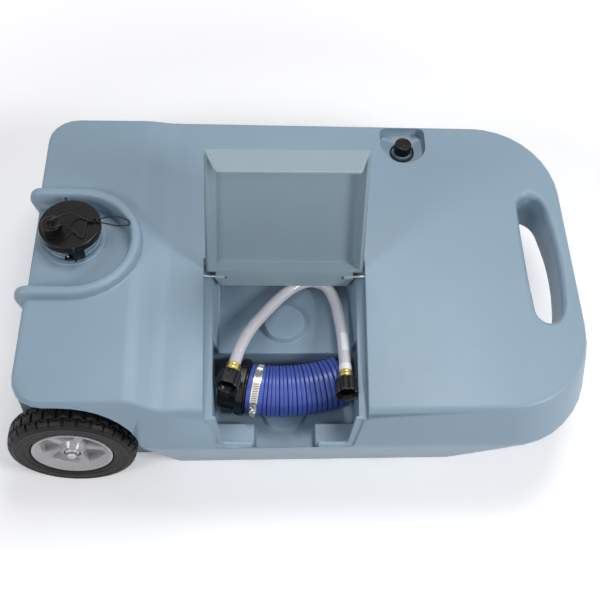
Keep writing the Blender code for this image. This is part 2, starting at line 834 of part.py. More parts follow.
def bay_trough(grown):
    """The deep front part, where the sewer hose lies, with a pad in each corner."""
    inset = FRONT_INSET - grown
    profile = [
        (SHELF_EDGE_Y + grown, TOP_Z + OUTSIDE),
        (SHELF_EDGE_Y + grown, SHELF_Z - 3 * MM),
        (SHELF_EDGE_Y - 0.5 * MM + grown, TROUGH_Z - grown),
        (PAD_BACK_Y, TROUGH_Z - grown),
        (PAD_BACK_Y - PAD_SLOPE, PAD_Z - grown),
        (front_face_y(PAD_Z, inset), PAD_Z - grown),
        (front_face_y(WAIST_Z, inset), WAIST_Z),
        (front_face_y(TOP_Z + OUTSIDE, inset), TOP_Z + OUTSIDE),
    ]
    return tapered_profile(profile, 0.01, SHELF_EDGE_Y, grown, "trough")


def finger_channel(grown):
    """The middle channel between the pads, which runs out through the rim."""
    high = SILL_Z + 20 * MM
    rim = RIM_LOW_Z + 1 * MM - grown
    profile = [
        (PAD_BACK_Y + 15 * MM, high),
        (PAD_BACK_Y + 15 * MM, TROUGH_Z - grown),
        (front_face_y(TROUGH_Z, 1.4 * WALL - grown), TROUGH_Z - grown),
        (front_face_y(rim, WALL - grown), rim),
        (front_face_y(rim, -OUTSIDE), rim),
        (front_face_y(rim, -OUTSIDE), high),
    ]
    sides = []
    for side in (-1, 1):
        ring = []
        for y, z in profile:
            half = CHANNEL_HALF + grown - 0.1 * (SILL_Z - z)
            ring.append((BAY_CENTRE + side * half, y, z))
        sides.append(ring)
    return loft(sides, f"channel_{grown > 0}")


def bay_cutters(grown):
    """Everything that the compartment takes out of the body."""
    return [
        bay_rebate(grown),
        front_opening(RIM_LOW_Z, RIM_LOW_HALF, 0.0, FRONT_LEDGE, grown),
        bay_shelf(grown),
        bay_trough(grown),
        front_opening(SILL_Z, RIM_LOW_HALF - SILL_IN, LEDGE_WIDTH, FRONT_INSET + 8 * MM, grown),
        finger_channel(grown),
    ]


def floor_boss(y, floor, rise, name):
    """A round kiss-off boss on the compartment floor."""
    steps = [(BOSS_RADIUS, floor - 2 * MM), (BOSS_RADIUS, floor), (BOSS_TOP, floor + rise)]
    return turned(steps, Matrix.Translation((BAY_CENTRE, y, 0)), 28, name)


def axle_frame():
    return frame_at((AXLE_X, 0, TYRE_RADIUS), (0, 1, 0))


def pin_frame(side):
    """Frame of one lid hinge pin, pointing out of the compartment."""
    return frame_at((BAY_CENTRE, HINGE_Y, HINGE_Z), (side, 0, 0))


def tank_shell():
    """The whole moulding: outside, hollow, compartment, wells, slot and pockets."""
    shell = outer_body()
    join(shell, guard())
    cut(shell, recess(0))
    upright = Matrix.Translation((SPOUT.x, SPOUT.y, 0))
    boss = NECK_RADIUS + SPOUT_BOSS_OUT
    steps = [(boss, RECESS_Z - 2 * MM), (boss, BOSS_TOP_Z - 1.5 * MM), (boss - 1.5 * MM, BOSS_TOP_Z)]
    join(shell, turned(steps, upright, 36, "spout_boss"))
    for side in (-1, 1):
        cut(shell, wheel_well(side, 0))
    cut(shell, belly_cutter(0), slot_cutter(0), vent_pocket(0), *foot_grooves())
    vent_frame = Matrix.Translation((VENT.x, VENT.y, 0))
    base = VENT_POCKET_Z
    boss = VENT_CAP_RADIUS + 1 * MM
    steps = [(boss, base - 2 * MM), (boss, base + 4 * MM), (boss - 1 * MM, base + 5 * MM)]
    steps += [(VENT_NECK, base + 5 * MM), (VENT_NECK, base + 15 * MM)]
    steps.append((VENT_NECK - 1 * MM, base + 16 * MM))
    join(shell, turned(steps, vent_frame, 24, "vent_neck"))
    cut(shell, *bay_cutters(0))
    join(shell, floor_boss(SHELF_BOSS_Y, SHELF_Z, SHELF_BOSS_RISE, "shelf_boss"))
    join(shell, floor_boss(TROUGH_BOSS_Y, TROUGH_Z, TROUGH_BOSS_RISE, "trough_boss"))

    hollow = inner_body()
    cut(hollow, *bay_cutters(WALL), recess(WALL), belly_cutter(WALL))
    cut(hollow, slot_cutter(WALL), vent_pocket(WALL))
    for side in (-1, 1):
        cut(hollow, wheel_well(side, 13 * MM))
        socket_end = BAY_FAR_HALF + PIN_SOCKET + WALL
        cut(hollow, rod(pin_frame(side), 10 * MM, 100 * MM, socket_end, 16, f"pin_lump_{side}"))
    reach = WELL_DEPTH_Y + 10 * MM
    tunnel = AXLE_RADIUS + 1 * MM + WALL
    cut(hollow, rod(axle_frame(), tunnel, -reach, reach, 20, "axle_tunnel"))

    cut(shell, hollow)
    bore = NECK_RADIUS - 3 * MM
    cut(shell, rod(upright, bore, RECESS_Z - 40 * MM, BOSS_TOP_Z + OUTSIDE, 36, "spout_bore"))
    cut(shell, rod(vent_frame, VENT_BORE, base - 40 * MM, base + 60 * MM, 20, "vent_bore"))
    cut(shell, rod(axle_frame(), AXLE_RADIUS + GAP, -reach, reach, 20, "axle_bore"))
    bore = PIN_RADIUS + GAP
    socket_end = bay_half(HINGE_Y) + PIN_SOCKET
    for side in (-1, 1):
        cut(shell, rod(pin_frame(side), bore, 100 * MM, socket_end, 16, f"pin_bore_{side}"))
    return shell


# Spout


def spout():
    """Bayonet neck on its seal, held in the tank's bore, with two steel lugs."""
    frame = Matrix.Translation((SPOUT.x, SPOUT.y, 0))
    seal = [
        (NECK_RADIUS - 3 * MM + GAP, BOSS_TOP_Z + GAP),
        (NECK_RADIUS + 5 * MM, BOSS_TOP_Z + GAP),
        (NECK_RADIUS + 5 * MM, BOSS_TOP_Z + GAP + SEAL_THICKNESS),
        (NECK_RADIUS - 3 * MM + GAP, BOSS_TOP_Z + GAP + SEAL_THICKNESS),
    ]
    lathe(seal, frame, 36, "spout_seal", black_rubber())
    spigot = NECK_RADIUS - 3 * MM - GAP
    profile = [
        (NECK_BORE, RECESS_Z - 18 * MM),
        (spigot, RECESS_Z - 18 * MM),
        (spigot, NECK_FOOT_Z),
        (NECK_RADIUS + 4.5 * MM, NECK_FOOT_Z),
        (NECK_RADIUS + 4.5 * MM, NECK_FOOT_Z + NECK_FLANGE - 1 * MM),
        (NECK_RADIUS + 3.5 * MM, NECK_FOOT_Z + NECK_FLANGE),
        (NECK_RADIUS, NECK_FOOT_Z + NECK_FLANGE),
        (NECK_RADIUS, NECK_TOP_Z - 1 * MM),
        (NECK_RADIUS - 1 * MM, NECK_TOP_Z),
        (NECK_BORE, NECK_TOP_Z),
    ]
    neck = lathe(profile, frame, 32, "spout_neck", tank_plastic())
    for side, name in ((-1, "spout_lug_near"), (1, "spout_lug_far")):
        lug = frame_at((SPOUT.x, SPOUT.y, PIN_Z), (0, side, 0))
        root = NECK_BORE + 2 * MM
        bore = PIN_RADIUS + GAP
        cut(neck, rod(lug, bore, root, NECK_RADIUS + 9 * MM, 14, f"{name}_bore"))
        rod(lug, PIN_RADIUS, root + GAP, CAP_RADIUS + 0.5 * MM, 14, name, steel(), chamfer=0.6 * MM)


def bayonet_cap():
    """Cap with a skirt and two hooked arms that turn under the lugs."""
    frame = Matrix.Translation((SPOUT.x, SPOUT.y, 0))
    low = CAP_PLATE_Z - CAP_SKIRT
    steps = [
        (CAP_RADIUS, low),
        (CAP_RADIUS, CAP_TOP_Z - 2.5 * MM),
        (CAP_RADIUS - 0.8 * MM, CAP_TOP_Z - 0.8 * MM),
        (CAP_RADIUS - 3 * MM, CAP_TOP_Z),
    ]
    cap = turned(steps, frame, 40, "bayonet_cap", black_plastic())
    inner = CAP_RADIUS - 4 * MM
    cut(cap, rod(frame, inner, low - OUTSIDE, CAP_PLATE_Z, 36, "cap_hollow"))
    foot = NECK_FOOT_Z + NECK_FLANGE + GAP
    toe_top = PIN_Z - PIN_RADIUS - 0.6 * MM
    inner_arm = NECK_RADIUS + 1.6 * MM
    outer_arm = CAP_RADIUS + CAP_ARM_OUT
    for side in (-1, 1):
        base = 90 * side
        top = CAP_PLATE_Z + 1 * MM
        arm = cap_arm(frame, base + 9.4, base + 30.4, foot, top, inner_arm, outer_arm)
        toe = cap_arm(
            frame, base - 7, base + 12, foot + GAP, toe_top, inner_arm + GAP, outer_arm - GAP
        )
        fin_in = inner + 1 * MM
        fin_out = CAP_RADIUS + CAP_FIN_OUT
        top = CAP_TOP_Z - 1 * MM
        fin = cap_arm(frame, base + 10.6, base + 14.5, foot + 2 * GAP, top, fin_in, fin_out)
        join(cap, arm, toe, fin)
    outlet = hose_outlet_frame()
    join(cap, rod(outlet, OUTLET_RADIUS, -1 * MM, OUTLET_HEIGHT, 24, "outlet_neck"))
    low = -2 * CAP_THICKNESS
    cut(cap, rod(outlet, OUTLET_BORE, low, OUTLET_HEIGHT + OUTSIDE, 20, "outlet_bore"))


def cap_arm(frame, start, end, low, high, inner, outer):
    """A curved bar of the cap between two angles, two heights and two radii."""
    ring_low = []
    ring_high = []
    steps = 5
    outline = [(inner, start + (end - start) * i / steps) for i in range(steps + 1)]
    outline += [(outer, end - (end - start) * i / steps) for i in range(steps + 1)]
    for radius, angle in outline:
        turn = math.radians(angle)
        place = Vector((radius * math.cos(turn), radius * math.sin(turn), 0))
        ring_low.append(frame @ (place + Vector((0, 0, low))))
        ring_high.append(frame @ (place + Vector((0, 0, high))))
    return loft([ring_low, ring_high], f"cap_arm_{start}_{end}")


def hose_outlet_frame():
    """The garden hose outlet on the cap, off centre towards the wheel end."""
    return Matrix.Translation((SPOUT.x + OUTLET_X, SPOUT.y + OUTLET_Y, CAP_TOP_Z))


def hose_cap():
    """Small screw cap on the outlet, its washer, and the eye for its tether."""
    outlet = hose_outlet_frame()
    low = OUTLET_HEIGHT + GAP
    high = low + 1.7 * MM
    washer = [(8 * MM, low), (12 * MM, low), (12 * MM, high), (8 * MM, high)]
    lathe(washer, outlet, 24, "hose_cap_washer", black_rubber())
    rings = []
    for radius, z in (
        (HOSE_CAP_RADIUS, GAP),
        (HOSE_CAP_RADIUS, HOSE_CAP_HEIGHT - 1 * MM),
        (HOSE_CAP_RADIUS - 1 * MM, HOSE_CAP_HEIGHT + 1 * MM),
    ):
        ring = []
        for i in range(32):
            turn = 2 * math.pi * i / 32
            grip = radius - (0.9 * MM if i % 2 else 0)
            ring.append(outlet @ Vector((grip * math.cos(turn), grip * math.sin(turn), z)))
        rings.append(ring)
    cap = loft(rings, "hose_cap", black_plastic())
    cut(cap, rod(outlet, OUTLET_RADIUS + 0.4 * MM, -5 * MM, high + GAP, 24, "hose_cap_hollow"))
    eye = frame_at(outlet @ Vector((0, 0, HOSE_CAP_HEIGHT + 3.5 * MM)), (0, 1, 0))
    ring = [(3.2 * MM, -1.5 * MM), (6 * MM, -1.5 * MM), (6 * MM, 1.5 * MM), (3.2 * MM, 1.5 * MM)]
    join(cap, lathe(ring, eye, 16, "hose_cap_eye"))


def cap_seal():
    frame = Matrix.Translation((SPOUT.x, SPOUT.y, 0))
    profile = [
        (NECK_BORE + 0.5 * MM, NECK_TOP_Z + GAP),
        (NECK_RADIUS + 1 * MM, NECK_TOP_Z + GAP),
        (NECK_RADIUS + 1 * MM, NECK_TOP_Z + GAP + SEAL_THICKNESS),
        (NECK_BORE + 0.5 * MM, NECK_TOP_Z + GAP + SEAL_THICKNESS),
    ]
    lathe(profile, frame, 36, "cap_seal", black_rubber())


def smooth_route(points, spacing):
    """Places every so often along a Catmull-Rom curve through the points."""
    corners = [Vector(point) for point in points]
    corners = [2 * corners[0] - corners[1]] + corners + [2 * corners[-1] - corners[-2]]
    fine = []
    for i in range(1, len(corners) - 2):
        a, b, c, d = corners[i - 1 : i + 3]
        for k in range(24):
            t = k / 24
            fine.append(
                0.5
                * (
                    2 * b
                    + (c - a) * t
                    + (2 * a - 5 * b + 4 * c - d) * t * t
                    + (3 * b - a - 3 * c + d) * t * t * t
                )
            )
    fine.append(corners[-2])
    steps = [0.0]
    for a, b in zip(fine, fine[1:]):
        steps.append(steps[-1] + (b - a).length)
    count = max(2, round(steps[-1] / spacing))
    route = []
    index = 0
    for k in range(count + 1):
        goal = steps[-1] * k / count
        while index < len(steps) - 2 and steps[index + 1] < goal:
            index += 1
        span = steps[index + 1] - steps[index]
        share = (goal - steps[index]) / span if span else 0
        route.append(fine[index].lerp(fine[index + 1], share))
    return route, steps[-1]


def cord(route, diameter, resolution, name, stuff):
    """A tube along a route, as a curve with a bevel and filled caps."""
    data = bpy.data.curves.new(name, "CURVE")
    data.dimensions = "3D"
    data.bevel_depth = diameter / 2
    data.bevel_resolution = resolution
    data.use_fill_caps = True
    spline = data.splines.new("POLY")
    spline.points.add(len(route) - 1)
    for point, place in zip(spline.points, route):
        point.co = (*place, 1)
    data.materials.append(stuff)
    tube = bpy.data.objects.new(name, data)
    bpy.context.scene.collection.objects.link(tube)
    return tube


def cap_tether():
    """Cord from the small cap's eye over the cap to a loop that lies on the guard."""
    eye = Vector((OUTLET_X, OUTLET_Y, CAP_TOP_Z + HOSE_CAP_HEIGHT + 3.5 * MM))
    top = CAP_TOP_Z + HOSE_CAP_HEIGHT + TETHER_DIAMETER / 2 + 1.4 * MM
    lie = CAP_TOP_Z + TETHER_DIAMETER / 2 + GAP
    end = GUARD_TOP + TETHER_DIAMETER + 1.7 * MM
    offsets = [
        (28 * MM, 3 * MM, lie),
        (27 * MM, -8 * MM, lie),
        (26.5 * MM, -22 * MM, lie),
        (22 * MM, -29.5 * MM, lie),
        (16 * MM, -25 * MM, lie + 0.5 * MM),
        (9 * MM, -17.5 * MM, lie + 3 * MM),
        (0, -16 * MM, lie + 11 * MM),
        (-7 * MM, -19.5 * MM, top - 2 * MM),
        (-13 * MM, -24 * MM, top),
        (-19 * MM, -26.5 * MM, top + 0.5 * MM),
        eye - Vector((-1 * MM, 9.5 * MM, 0)),
        eye - Vector((0, 4 * MM, 0)),
        eye,
        eye + Vector((2.5 * MM, 5 * MM, 1 * MM)),
        eye + Vector((10 * MM, 10 * MM, 0)),
        (-4 * MM, 4 * MM, lie + 17 * MM),
        (6 * MM, 13 * MM, lie + 9 * MM),
        (15 * MM, 12.5 * MM, lie + 2.5 * MM),
        (23 * MM, 8.5 * MM, lie),
        (34 * MM, 7.5 * MM, lie),
        (47 * MM, 9 * MM, lie),
        (62 * MM, 13 * MM, end + 1.5 * MM),
        (78 * MM, 14 * MM, end),
        (92 * MM, 9.5 * MM, end - 1.5 * MM),
        (97 * MM, 3.5 * MM, end - 2 * MM),
        (92 * MM, -1.5 * MM, end - 1.5 * MM),
        (78 * MM, -4 * MM, end),
        (62 * MM, -1.5 * MM, end + 1.5 * MM),
        (47 * MM, 2.5 * MM, lie),
        (35 * MM, 3.2 * MM, lie),
    ]
    route = [Vector((SPOUT.x, SPOUT.y, 0)) + Vector(offset) for offset in offsets]
    places, length = smooth_route(route, 2.5 * TETHER_DIAMETER)
    print(f"cap_tether length {length * 1000:.1f} mm")
    cord(places, TETHER_DIAMETER, 2, "cap_tether", black_rubber())


# Vent


def vent():
    """Vent cap on the moulded neck, with the rubber loop that keeps it."""
    frame = Matrix.Translation((VENT.x, VENT.y, 0))
    low = VENT_POCKET_Z + 5 * MM + GAP
    high = low + VENT_CAP_HEIGHT
    rings = []
    for radius, z in (
        (VENT_CAP_RADIUS, low),
        (VENT_CAP_RADIUS, high - 2 * MM),
        (VENT_CAP_RADIUS - 2 * MM, high),
    ):
        ring = []
        for i in range(32):
            turn = 2 * math.pi * i / 32
            grip = radius - (0.8 * MM if i % 2 else 0)
            ring.append(frame @ Vector((grip * math.cos(turn), grip * math.sin(turn), z)))
        rings.append(ring)
    cap = loft(rings, "vent_cap", black_plastic())
    inside = VENT_POCKET_Z + 16.5 * MM
    cut(cap, rod(frame, VENT_NECK + 0.5 * MM, low - OUTSIDE, inside, 24, "vent_cap_hollow"))
    tube = VENT_LOOP_THICKNESS / 2
    middle = VENT_POCKET_Z + tube + GAP
    profile = [
        (VENT_LOOP_RADIUS + tube * math.cos(a), middle + tube * math.sin(a))
        for a in (2 * math.pi * i / 8 for i in range(8))
    ]
    loop = lathe(profile, frame, 28, "vent_cap_loop", black_rubber())
    strap = [
        (VENT.x + VENT_CAP_RADIUS + GAP, middle),
        (VENT.x + VENT_LOOP_RADIUS + tube * 0.5, middle),
        (VENT.x + VENT_LOOP_RADIUS + tube * 0.5, middle + 9 * MM),
        (VENT.x + VENT_CAP_RADIUS + GAP, middle + 11 * MM),
    ]
    strap[0] = (VENT.x + VENT_LOOP_RADIUS - tube * 0.5, middle)
    join(loop, prism(strap, VENT.y - 3.5 * MM, VENT.y + 3.5 * MM, "Y", "vent_strap"))


# Lid


def lid_frame():
    """Turns the shut lid about its hinge to the open rest pose."""
    pivot = Matrix.Translation((BAY_CENTRE, HINGE_Y, HINGE_Z))
    return pivot @ Matrix.Rotation(-math.radians(LID_OPEN_ANGLE), 4, "X") @ pivot.inverted()


def lid_pan(inside):
    """The lid's shallow pan as a loft from its rim up to its plate."""
    out = LID_WALL * 1.15 if inside else 0.0
    drop = LID_WALL if inside else 0.0
    low = LID_RIM_Z - (6 * MM if inside else 0.0)
    high = TOP_Z - drop
    rings = []
    for z in (low, high):
        share = (z + drop - LID_RIM_Z) / (TOP_Z - LID_RIM_Z)
        near = side_y(z, 0.75 * out + (0 if inside else 2 * GAP)) - GAP
        far = LID_STEP_Y + 4 * MM * (1 - share) - out
        ring = []
        for side, y in ((-1, near), (1, near), (1, far), (-1, far)):
            half = bay_half(y) - 2 * RUN_GAP - LID_FLARE * share - out
            ring.append((BAY_CENTRE + side * half, y, z))
        rings.append(ring)
    name = "lid_hollow" if inside else "lid"
    return loft(rings, name, None if inside else tank_plastic())


def lid_front():
    """The lid's front flange, which follows the sloped side face of the tank."""
    top_half = bay_half(-HALF_WIDTH) - 2 * RUN_GAP
    low_half = LID_FLANGE_LOW_HALF
    outline = [
        (-top_half, 1 * MM),
        (-low_half - 1.5 * MM, LID_FLANGE - 6 * MM),
        (-low_half + 0.5 * MM, LID_FLANGE - 1.5 * MM),
        (-low_half + 5 * MM, LID_FLANGE),
        (low_half - 5 * MM, LID_FLANGE),
        (low_half - 0.5 * MM, LID_FLANGE - 1.5 * MM),
        (low_half + 1.5 * MM, LID_FLANGE - 6 * MM),
        (top_half, 1 * MM),
    ]
    rings = []
    for depth in (0.0, LID_WALL):
        ring = []
        for x, down in outline:
            y = -HALF_WIDTH - GAP - down * math.sin(SIDE_ANGLE) + depth * math.cos(SIDE_ANGLE)
            z = TOP_Z - down * math.cos(SIDE_ANGLE) - depth * math.sin(SIDE_ANGLE)
            ring.append((BAY_CENTRE + x, y, z))
        rings.append(ring)
    return loft(rings, "lid_flange")


def lid():
    """Lid: pan, front flange, rear tab and two hinge knuckles, opened on its pins."""
    cover = lid_pan(False)
    cut(cover, lid_pan(True))
    join(cover, lid_front())
    half = LID_TAB_HALF
    tab = [
        (BAY_CENTRE - half, LID_STEP_Y - 1 * MM),
        (BAY_CENTRE + half, LID_STEP_Y - 1 * MM),
        (BAY_CENTRE + half, HINGE_Y + 5 * MM),
        (BAY_CENTRE + half - 9 * MM, HINGE_Y + LID_TAB_REACH),
        (BAY_CENTRE - half + 9 * MM, HINGE_Y + LID_TAB_REACH),
        (BAY_CENTRE - half, HINGE_Y + 5 * MM),
    ]
    low = LID_RIM_Z
    join(cover, prism(tab, low, low + LID_WALL, "Z", "lid_tab"))
    for side in (-1, 1):
        start = half - KNUCKLE_LENGTH
        name = f"knuckle_{side}"
        join(cover, rod(pin_frame(side), KNUCKLE_RADIUS, start, half + 1 * MM, 18, name))
    for side in (-1, 1):
        start = half - KNUCKLE_LENGTH - 5 * MM
        name = f"knuckle_bore_{side}"
        cut(cover, rod(pin_frame(side), PIN_RADIUS + GAP, start, half + OUTSIDE, 16, name))
    open_lid = lid_frame()
    for item in [cover] + [step.object for step in cover.modifiers]:
        item.data.transform(open_lid)
    for side, name in ((-1, "hinge_pin_left"), (1, "hinge_pin_right")):
        end = bay_half(HINGE_Y) + PIN_SOCKET - GAP
        start = half - KNUCKLE_LENGTH + GAP
        rod(pin_frame(side), PIN_RADIUS, start, end, 14, name, steel(), chamfer=0.5 * MM)


# Wheels


def tyre(frame, name):
    """Knobbed tyre: the shoulders step in and out, left and right out of step."""
    half = TYRE_WIDTH / 2
    bead = RIM_RADIUS + GAP
    profile = [
        (bead, -half + 7 * MM, 0),
        (bead + 2 * MM, -half + 2 * MM, 0),
        (TYRE_RADIUS - 14 * MM, -half, 0),
        (TYRE_RADIUS - 4.5 * MM, -half + 2.5 * MM, -1),
        (TYRE_RADIUS - 0.6 * MM, -half + 9 * MM, -1),
        (TYRE_RADIUS, -3 * MM, -1),
        (TYRE_RADIUS, 3 * MM, 1),
        (TYRE_RADIUS - 0.6 * MM, half - 9 * MM, 1),
        (TYRE_RADIUS - 4.5 * MM, half - 2.5 * MM, 1),
        (TYRE_RADIUS - 14 * MM, half, 0),
        (bead + 2 * MM, half - 2 * MM, 0),
        (bead, half - 7 * MM, 0),
    ]
    blocks = 30
    steps = blocks * 2
    rings = []
    for i in range(steps):
        turn = 2 * math.pi * i / steps
        ring = []
        for radius, across, side in profile:
            groove = side and ((i + (side > 0)) % 2 == 0)
            size = radius - (2.6 * MM if groove and i else 0)
            ring.append(frame @ Vector((size * math.cos(turn), size * math.sin(turn), across)))
        rings.append(ring)
    return loft(rings, name, black_rubber(), closed=True)


def wheel_rim(frame, name):
    """Dished rim with a recess in its hub, and pockets between its spokes."""
    half = TYRE_WIDTH / 2
    hub = HUB_LENGTH / 2
    hub_out = hub - HUB_BACK
    bore = AXLE_RADIUS + 2 * GAP + BUSH_WALL
    web = RIM_WEB / 2
    profile = [
        (bore, -hub),
        (HUB_RADIUS - 1 * MM, -hub),
        (HUB_RADIUS, -hub + 1 * MM),
        (HUB_RADIUS + 1 * MM, -web),
        (RIM_RADIUS - 9 * MM, -web),
        (RIM_RADIUS - 5 * MM, -half + 1.5 * MM),
        (RIM_RADIUS, -half + 1.5 * MM),
        (RIM_RADIUS, half - 1.5 * MM),
        (RIM_RADIUS - 2 * MM, half - 1.5 * MM),
        (RIM_RADIUS - 5 * MM, half - 2.5 * MM),
        (RIM_RADIUS - 10 * MM, web + 8 * MM),
        (RIM_RADIUS - 17 * MM, web + 2.5 * MM),
        (HUB_RADIUS + 4 * MM, web + 2 * MM),
        (HUB_RADIUS, hub_out - 1 * MM),
        (HUB_RADIUS - 1 * MM, hub_out),
        (HUB_RECESS_RADIUS, hub_out),
        (HUB_RECESS_RADIUS, hub_out - HUB_RECESS),
        (bore, hub_out - HUB_RECESS),
    ]
    rim = lathe(profile, frame, 36, name, rim_plastic())
    outer = RIM_RADIUS - 14 * MM
    inner = HUB_RADIUS + 6 * MM
    half_angle = 0.36 * 360 / RIM_POCKETS
    for i in range(RIM_POCKETS):
        middle = 12 + 360 / RIM_POCKETS * i
        outline = arc((0, 0), outer, outer, middle - half_angle, middle + half_angle, 5)
        near = half_angle - 5
        outline += arc((0, 0), inner, inner, middle + near, middle - near, 2)
        rings = []
        for h in (web - RIM_POCKET_DEPTH, half + 5 * MM):
            rings.append([frame @ Vector((x, y, h)) for x, y in outline])
        cut(rim, loft(rings, f"{name}_pocket_{i}"))
    return rim


def wheels():
    """Axle with, on each end, a spacer, bush, rim, tyre, washer and push-on cap."""
    stack = WELL_DEPTH_Y + GAP
    spacer_start = stack
    hub_start = spacer_start + SPACER_LENGTH + GAP
    hub_middle = hub_start + HUB_LENGTH / 2
    hub_end = hub_start + HUB_LENGTH - HUB_BACK - HUB_RECESS
    outer_washer = hub_end + GAP
    cap_start = outer_washer + WASHER_THICKNESS + GAP
    axle_end = cap_start + 7 * MM
    rod(axle_frame(), AXLE_RADIUS, -axle_end, axle_end, 20, "axle", steel(), chamfer=1 * MM)
    for side, label in ((-1, "near"), (1, "far")):
        origin = frame_at((AXLE_X, 0, TYRE_RADIUS), (0, side, 0))
        middle = origin @ Matrix.Translation((0, 0, hub_middle))
        down = frame_at(middle.translation, (0, side, 0))
        turn = Matrix.Rotation(math.radians(-90 if side > 0 else 90), 4, "Z")
        tyre(down @ turn, f"tyre_{label}")
        wheel_rim(down @ turn, f"wheel_rim_{label}")
        bore = AXLE_RADIUS + GAP
        bush = [
            (bore, hub_start + 0.5 * MM),
            (bore + BUSH_WALL, hub_start + 0.5 * MM),
            (bore + BUSH_WALL, hub_end - 0.5 * MM),
            (bore, hub_end - 0.5 * MM),
        ]
        lathe(bush, origin, 20, f"wheel_bush_{label}", nylon())
        for name, place, length, stuff in (
            ("axle_spacer", spacer_start, SPACER_LENGTH, nylon()),
            ("axle_washer", outer_washer, WASHER_THICKNESS, steel()),
        ):
            ring = [
                (bore, place),
                (12 * MM, place),
                (12 * MM, place + length),
                (bore, place + length),
            ]
            lathe(ring, origin, 20, f"{name}_{label}", stuff)
        steps = [
            (10.8 * MM, cap_start),
            (10.8 * MM, cap_start + 2 * MM),
            (8 * MM, cap_start + 3 * MM),
            (7.8 * MM, cap_start + 8.5 * MM),
            (6.4 * MM, cap_start + 10 * MM),
        ]
        cap = turned(steps, origin, 20, f"axle_cap_{label}", steel())
        bore = AXLE_RADIUS + GAP
        low = cap_start - 5 * MM
        cut(cap, rod(origin, bore, low, axle_end + GAP, 20, f"axle_cap_bore_{label}"))


# Sewer hose


def sewer_point(angle):
    """A place on the bent middle line of the sewer hose, and its direction.

    The bend is tighter on the left of its nearest point than on the right.
    """
    turn = math.radians(angle)
    bend = SEWER_BEND if angle > 0 else SEWER_LEFT_BEND
    x = BAY_CENTRE + SEWER_X + bend * math.sin(turn)
    y = NEAR_EDGE_Y + SEWER_IN + bend * (1 - math.cos(turn))
    return Vector((x, y, SEWER_Z)), Vector((math.cos(turn), math.sin(turn), 0))


def sewer_place(length):
    """The same at a length along the hose, from the frame of its fitting."""
    left = math.radians(-SEWER_LEFT_ANGLE) * SEWER_LEFT_BEND
    bend = SEWER_BEND if length > left else SEWER_LEFT_BEND
    return sewer_point(math.degrees((length - left) / bend))


def fitting_frame():
    """Frame at the hose's left end, its Z axis pointing out of the hose."""
    place, along = sewer_point(SEWER_LEFT_ANGLE)
    return frame_at(place, -along)


def tube_ring(place, along, radius, sides):
    frame = frame_at(place, along)
    turns = (2 * math.pi * i / sides for i in range(sides))
    return [frame @ Vector((radius * math.cos(t), radius * math.sin(t), 0)) for t in turns]


def sewer_hose():
    """Compressed ribbed hose with its bore, and a plain cuff on the fitting."""
    sides = 18
    start, along = sewer_place(0)
    cuff_end = start - along * CUFF_OUT
    rings = [
        tube_ring(cuff_end, along, SEWER_ROOT + 1 * MM, sides),
        tube_ring(start + along * (CLAMP_WIDTH / 2), along, SEWER_ROOT + 1 * MM, sides),
    ]
    place, direction = sewer_place(CUFF_IN)
    rings.append(tube_ring(place, direction, SEWER_ROOT + 1 * MM, sides))
    total = math.radians(-SEWER_LEFT_ANGLE) * SEWER_LEFT_BEND
    total += math.radians(SEWER_RIGHT_ANGLE) * SEWER_BEND
    ribbed = total - CUFF_IN - 1 * MM
    for i in range(SEWER_RIBS):
        for share, radius in ((0.1, SEWER_ROOT), (0.35, SEWER_RADIUS), (0.75, SEWER_RADIUS)):
            part = (i + share) / SEWER_RIBS
            part = part * (1 - SEWER_STRETCH) + part * part * SEWER_STRETCH
            place, direction = sewer_place(CUFF_IN + 1 * MM + ribbed * part)
            rings.append(tube_ring(place, direction, radius, sides))
    end, direction = sewer_place(total)
    rings.append(tube_ring(end, direction, SEWER_ROOT, sides))
    for i in range(8):
        place, direction = sewer_place(total * (1 - i / 7))
        rings.append(tube_ring(place, direction, SEWER_BORE, sides))
    rings.append(tube_ring(cuff_end, along, SEWER_BORE, sides))
    loft(rings, "sewer_hose", sewer_vinyl(), closed=True)
    print(f"sewer_hose compressed length {(total + CUFF_OUT) * 1000:.1f} mm")


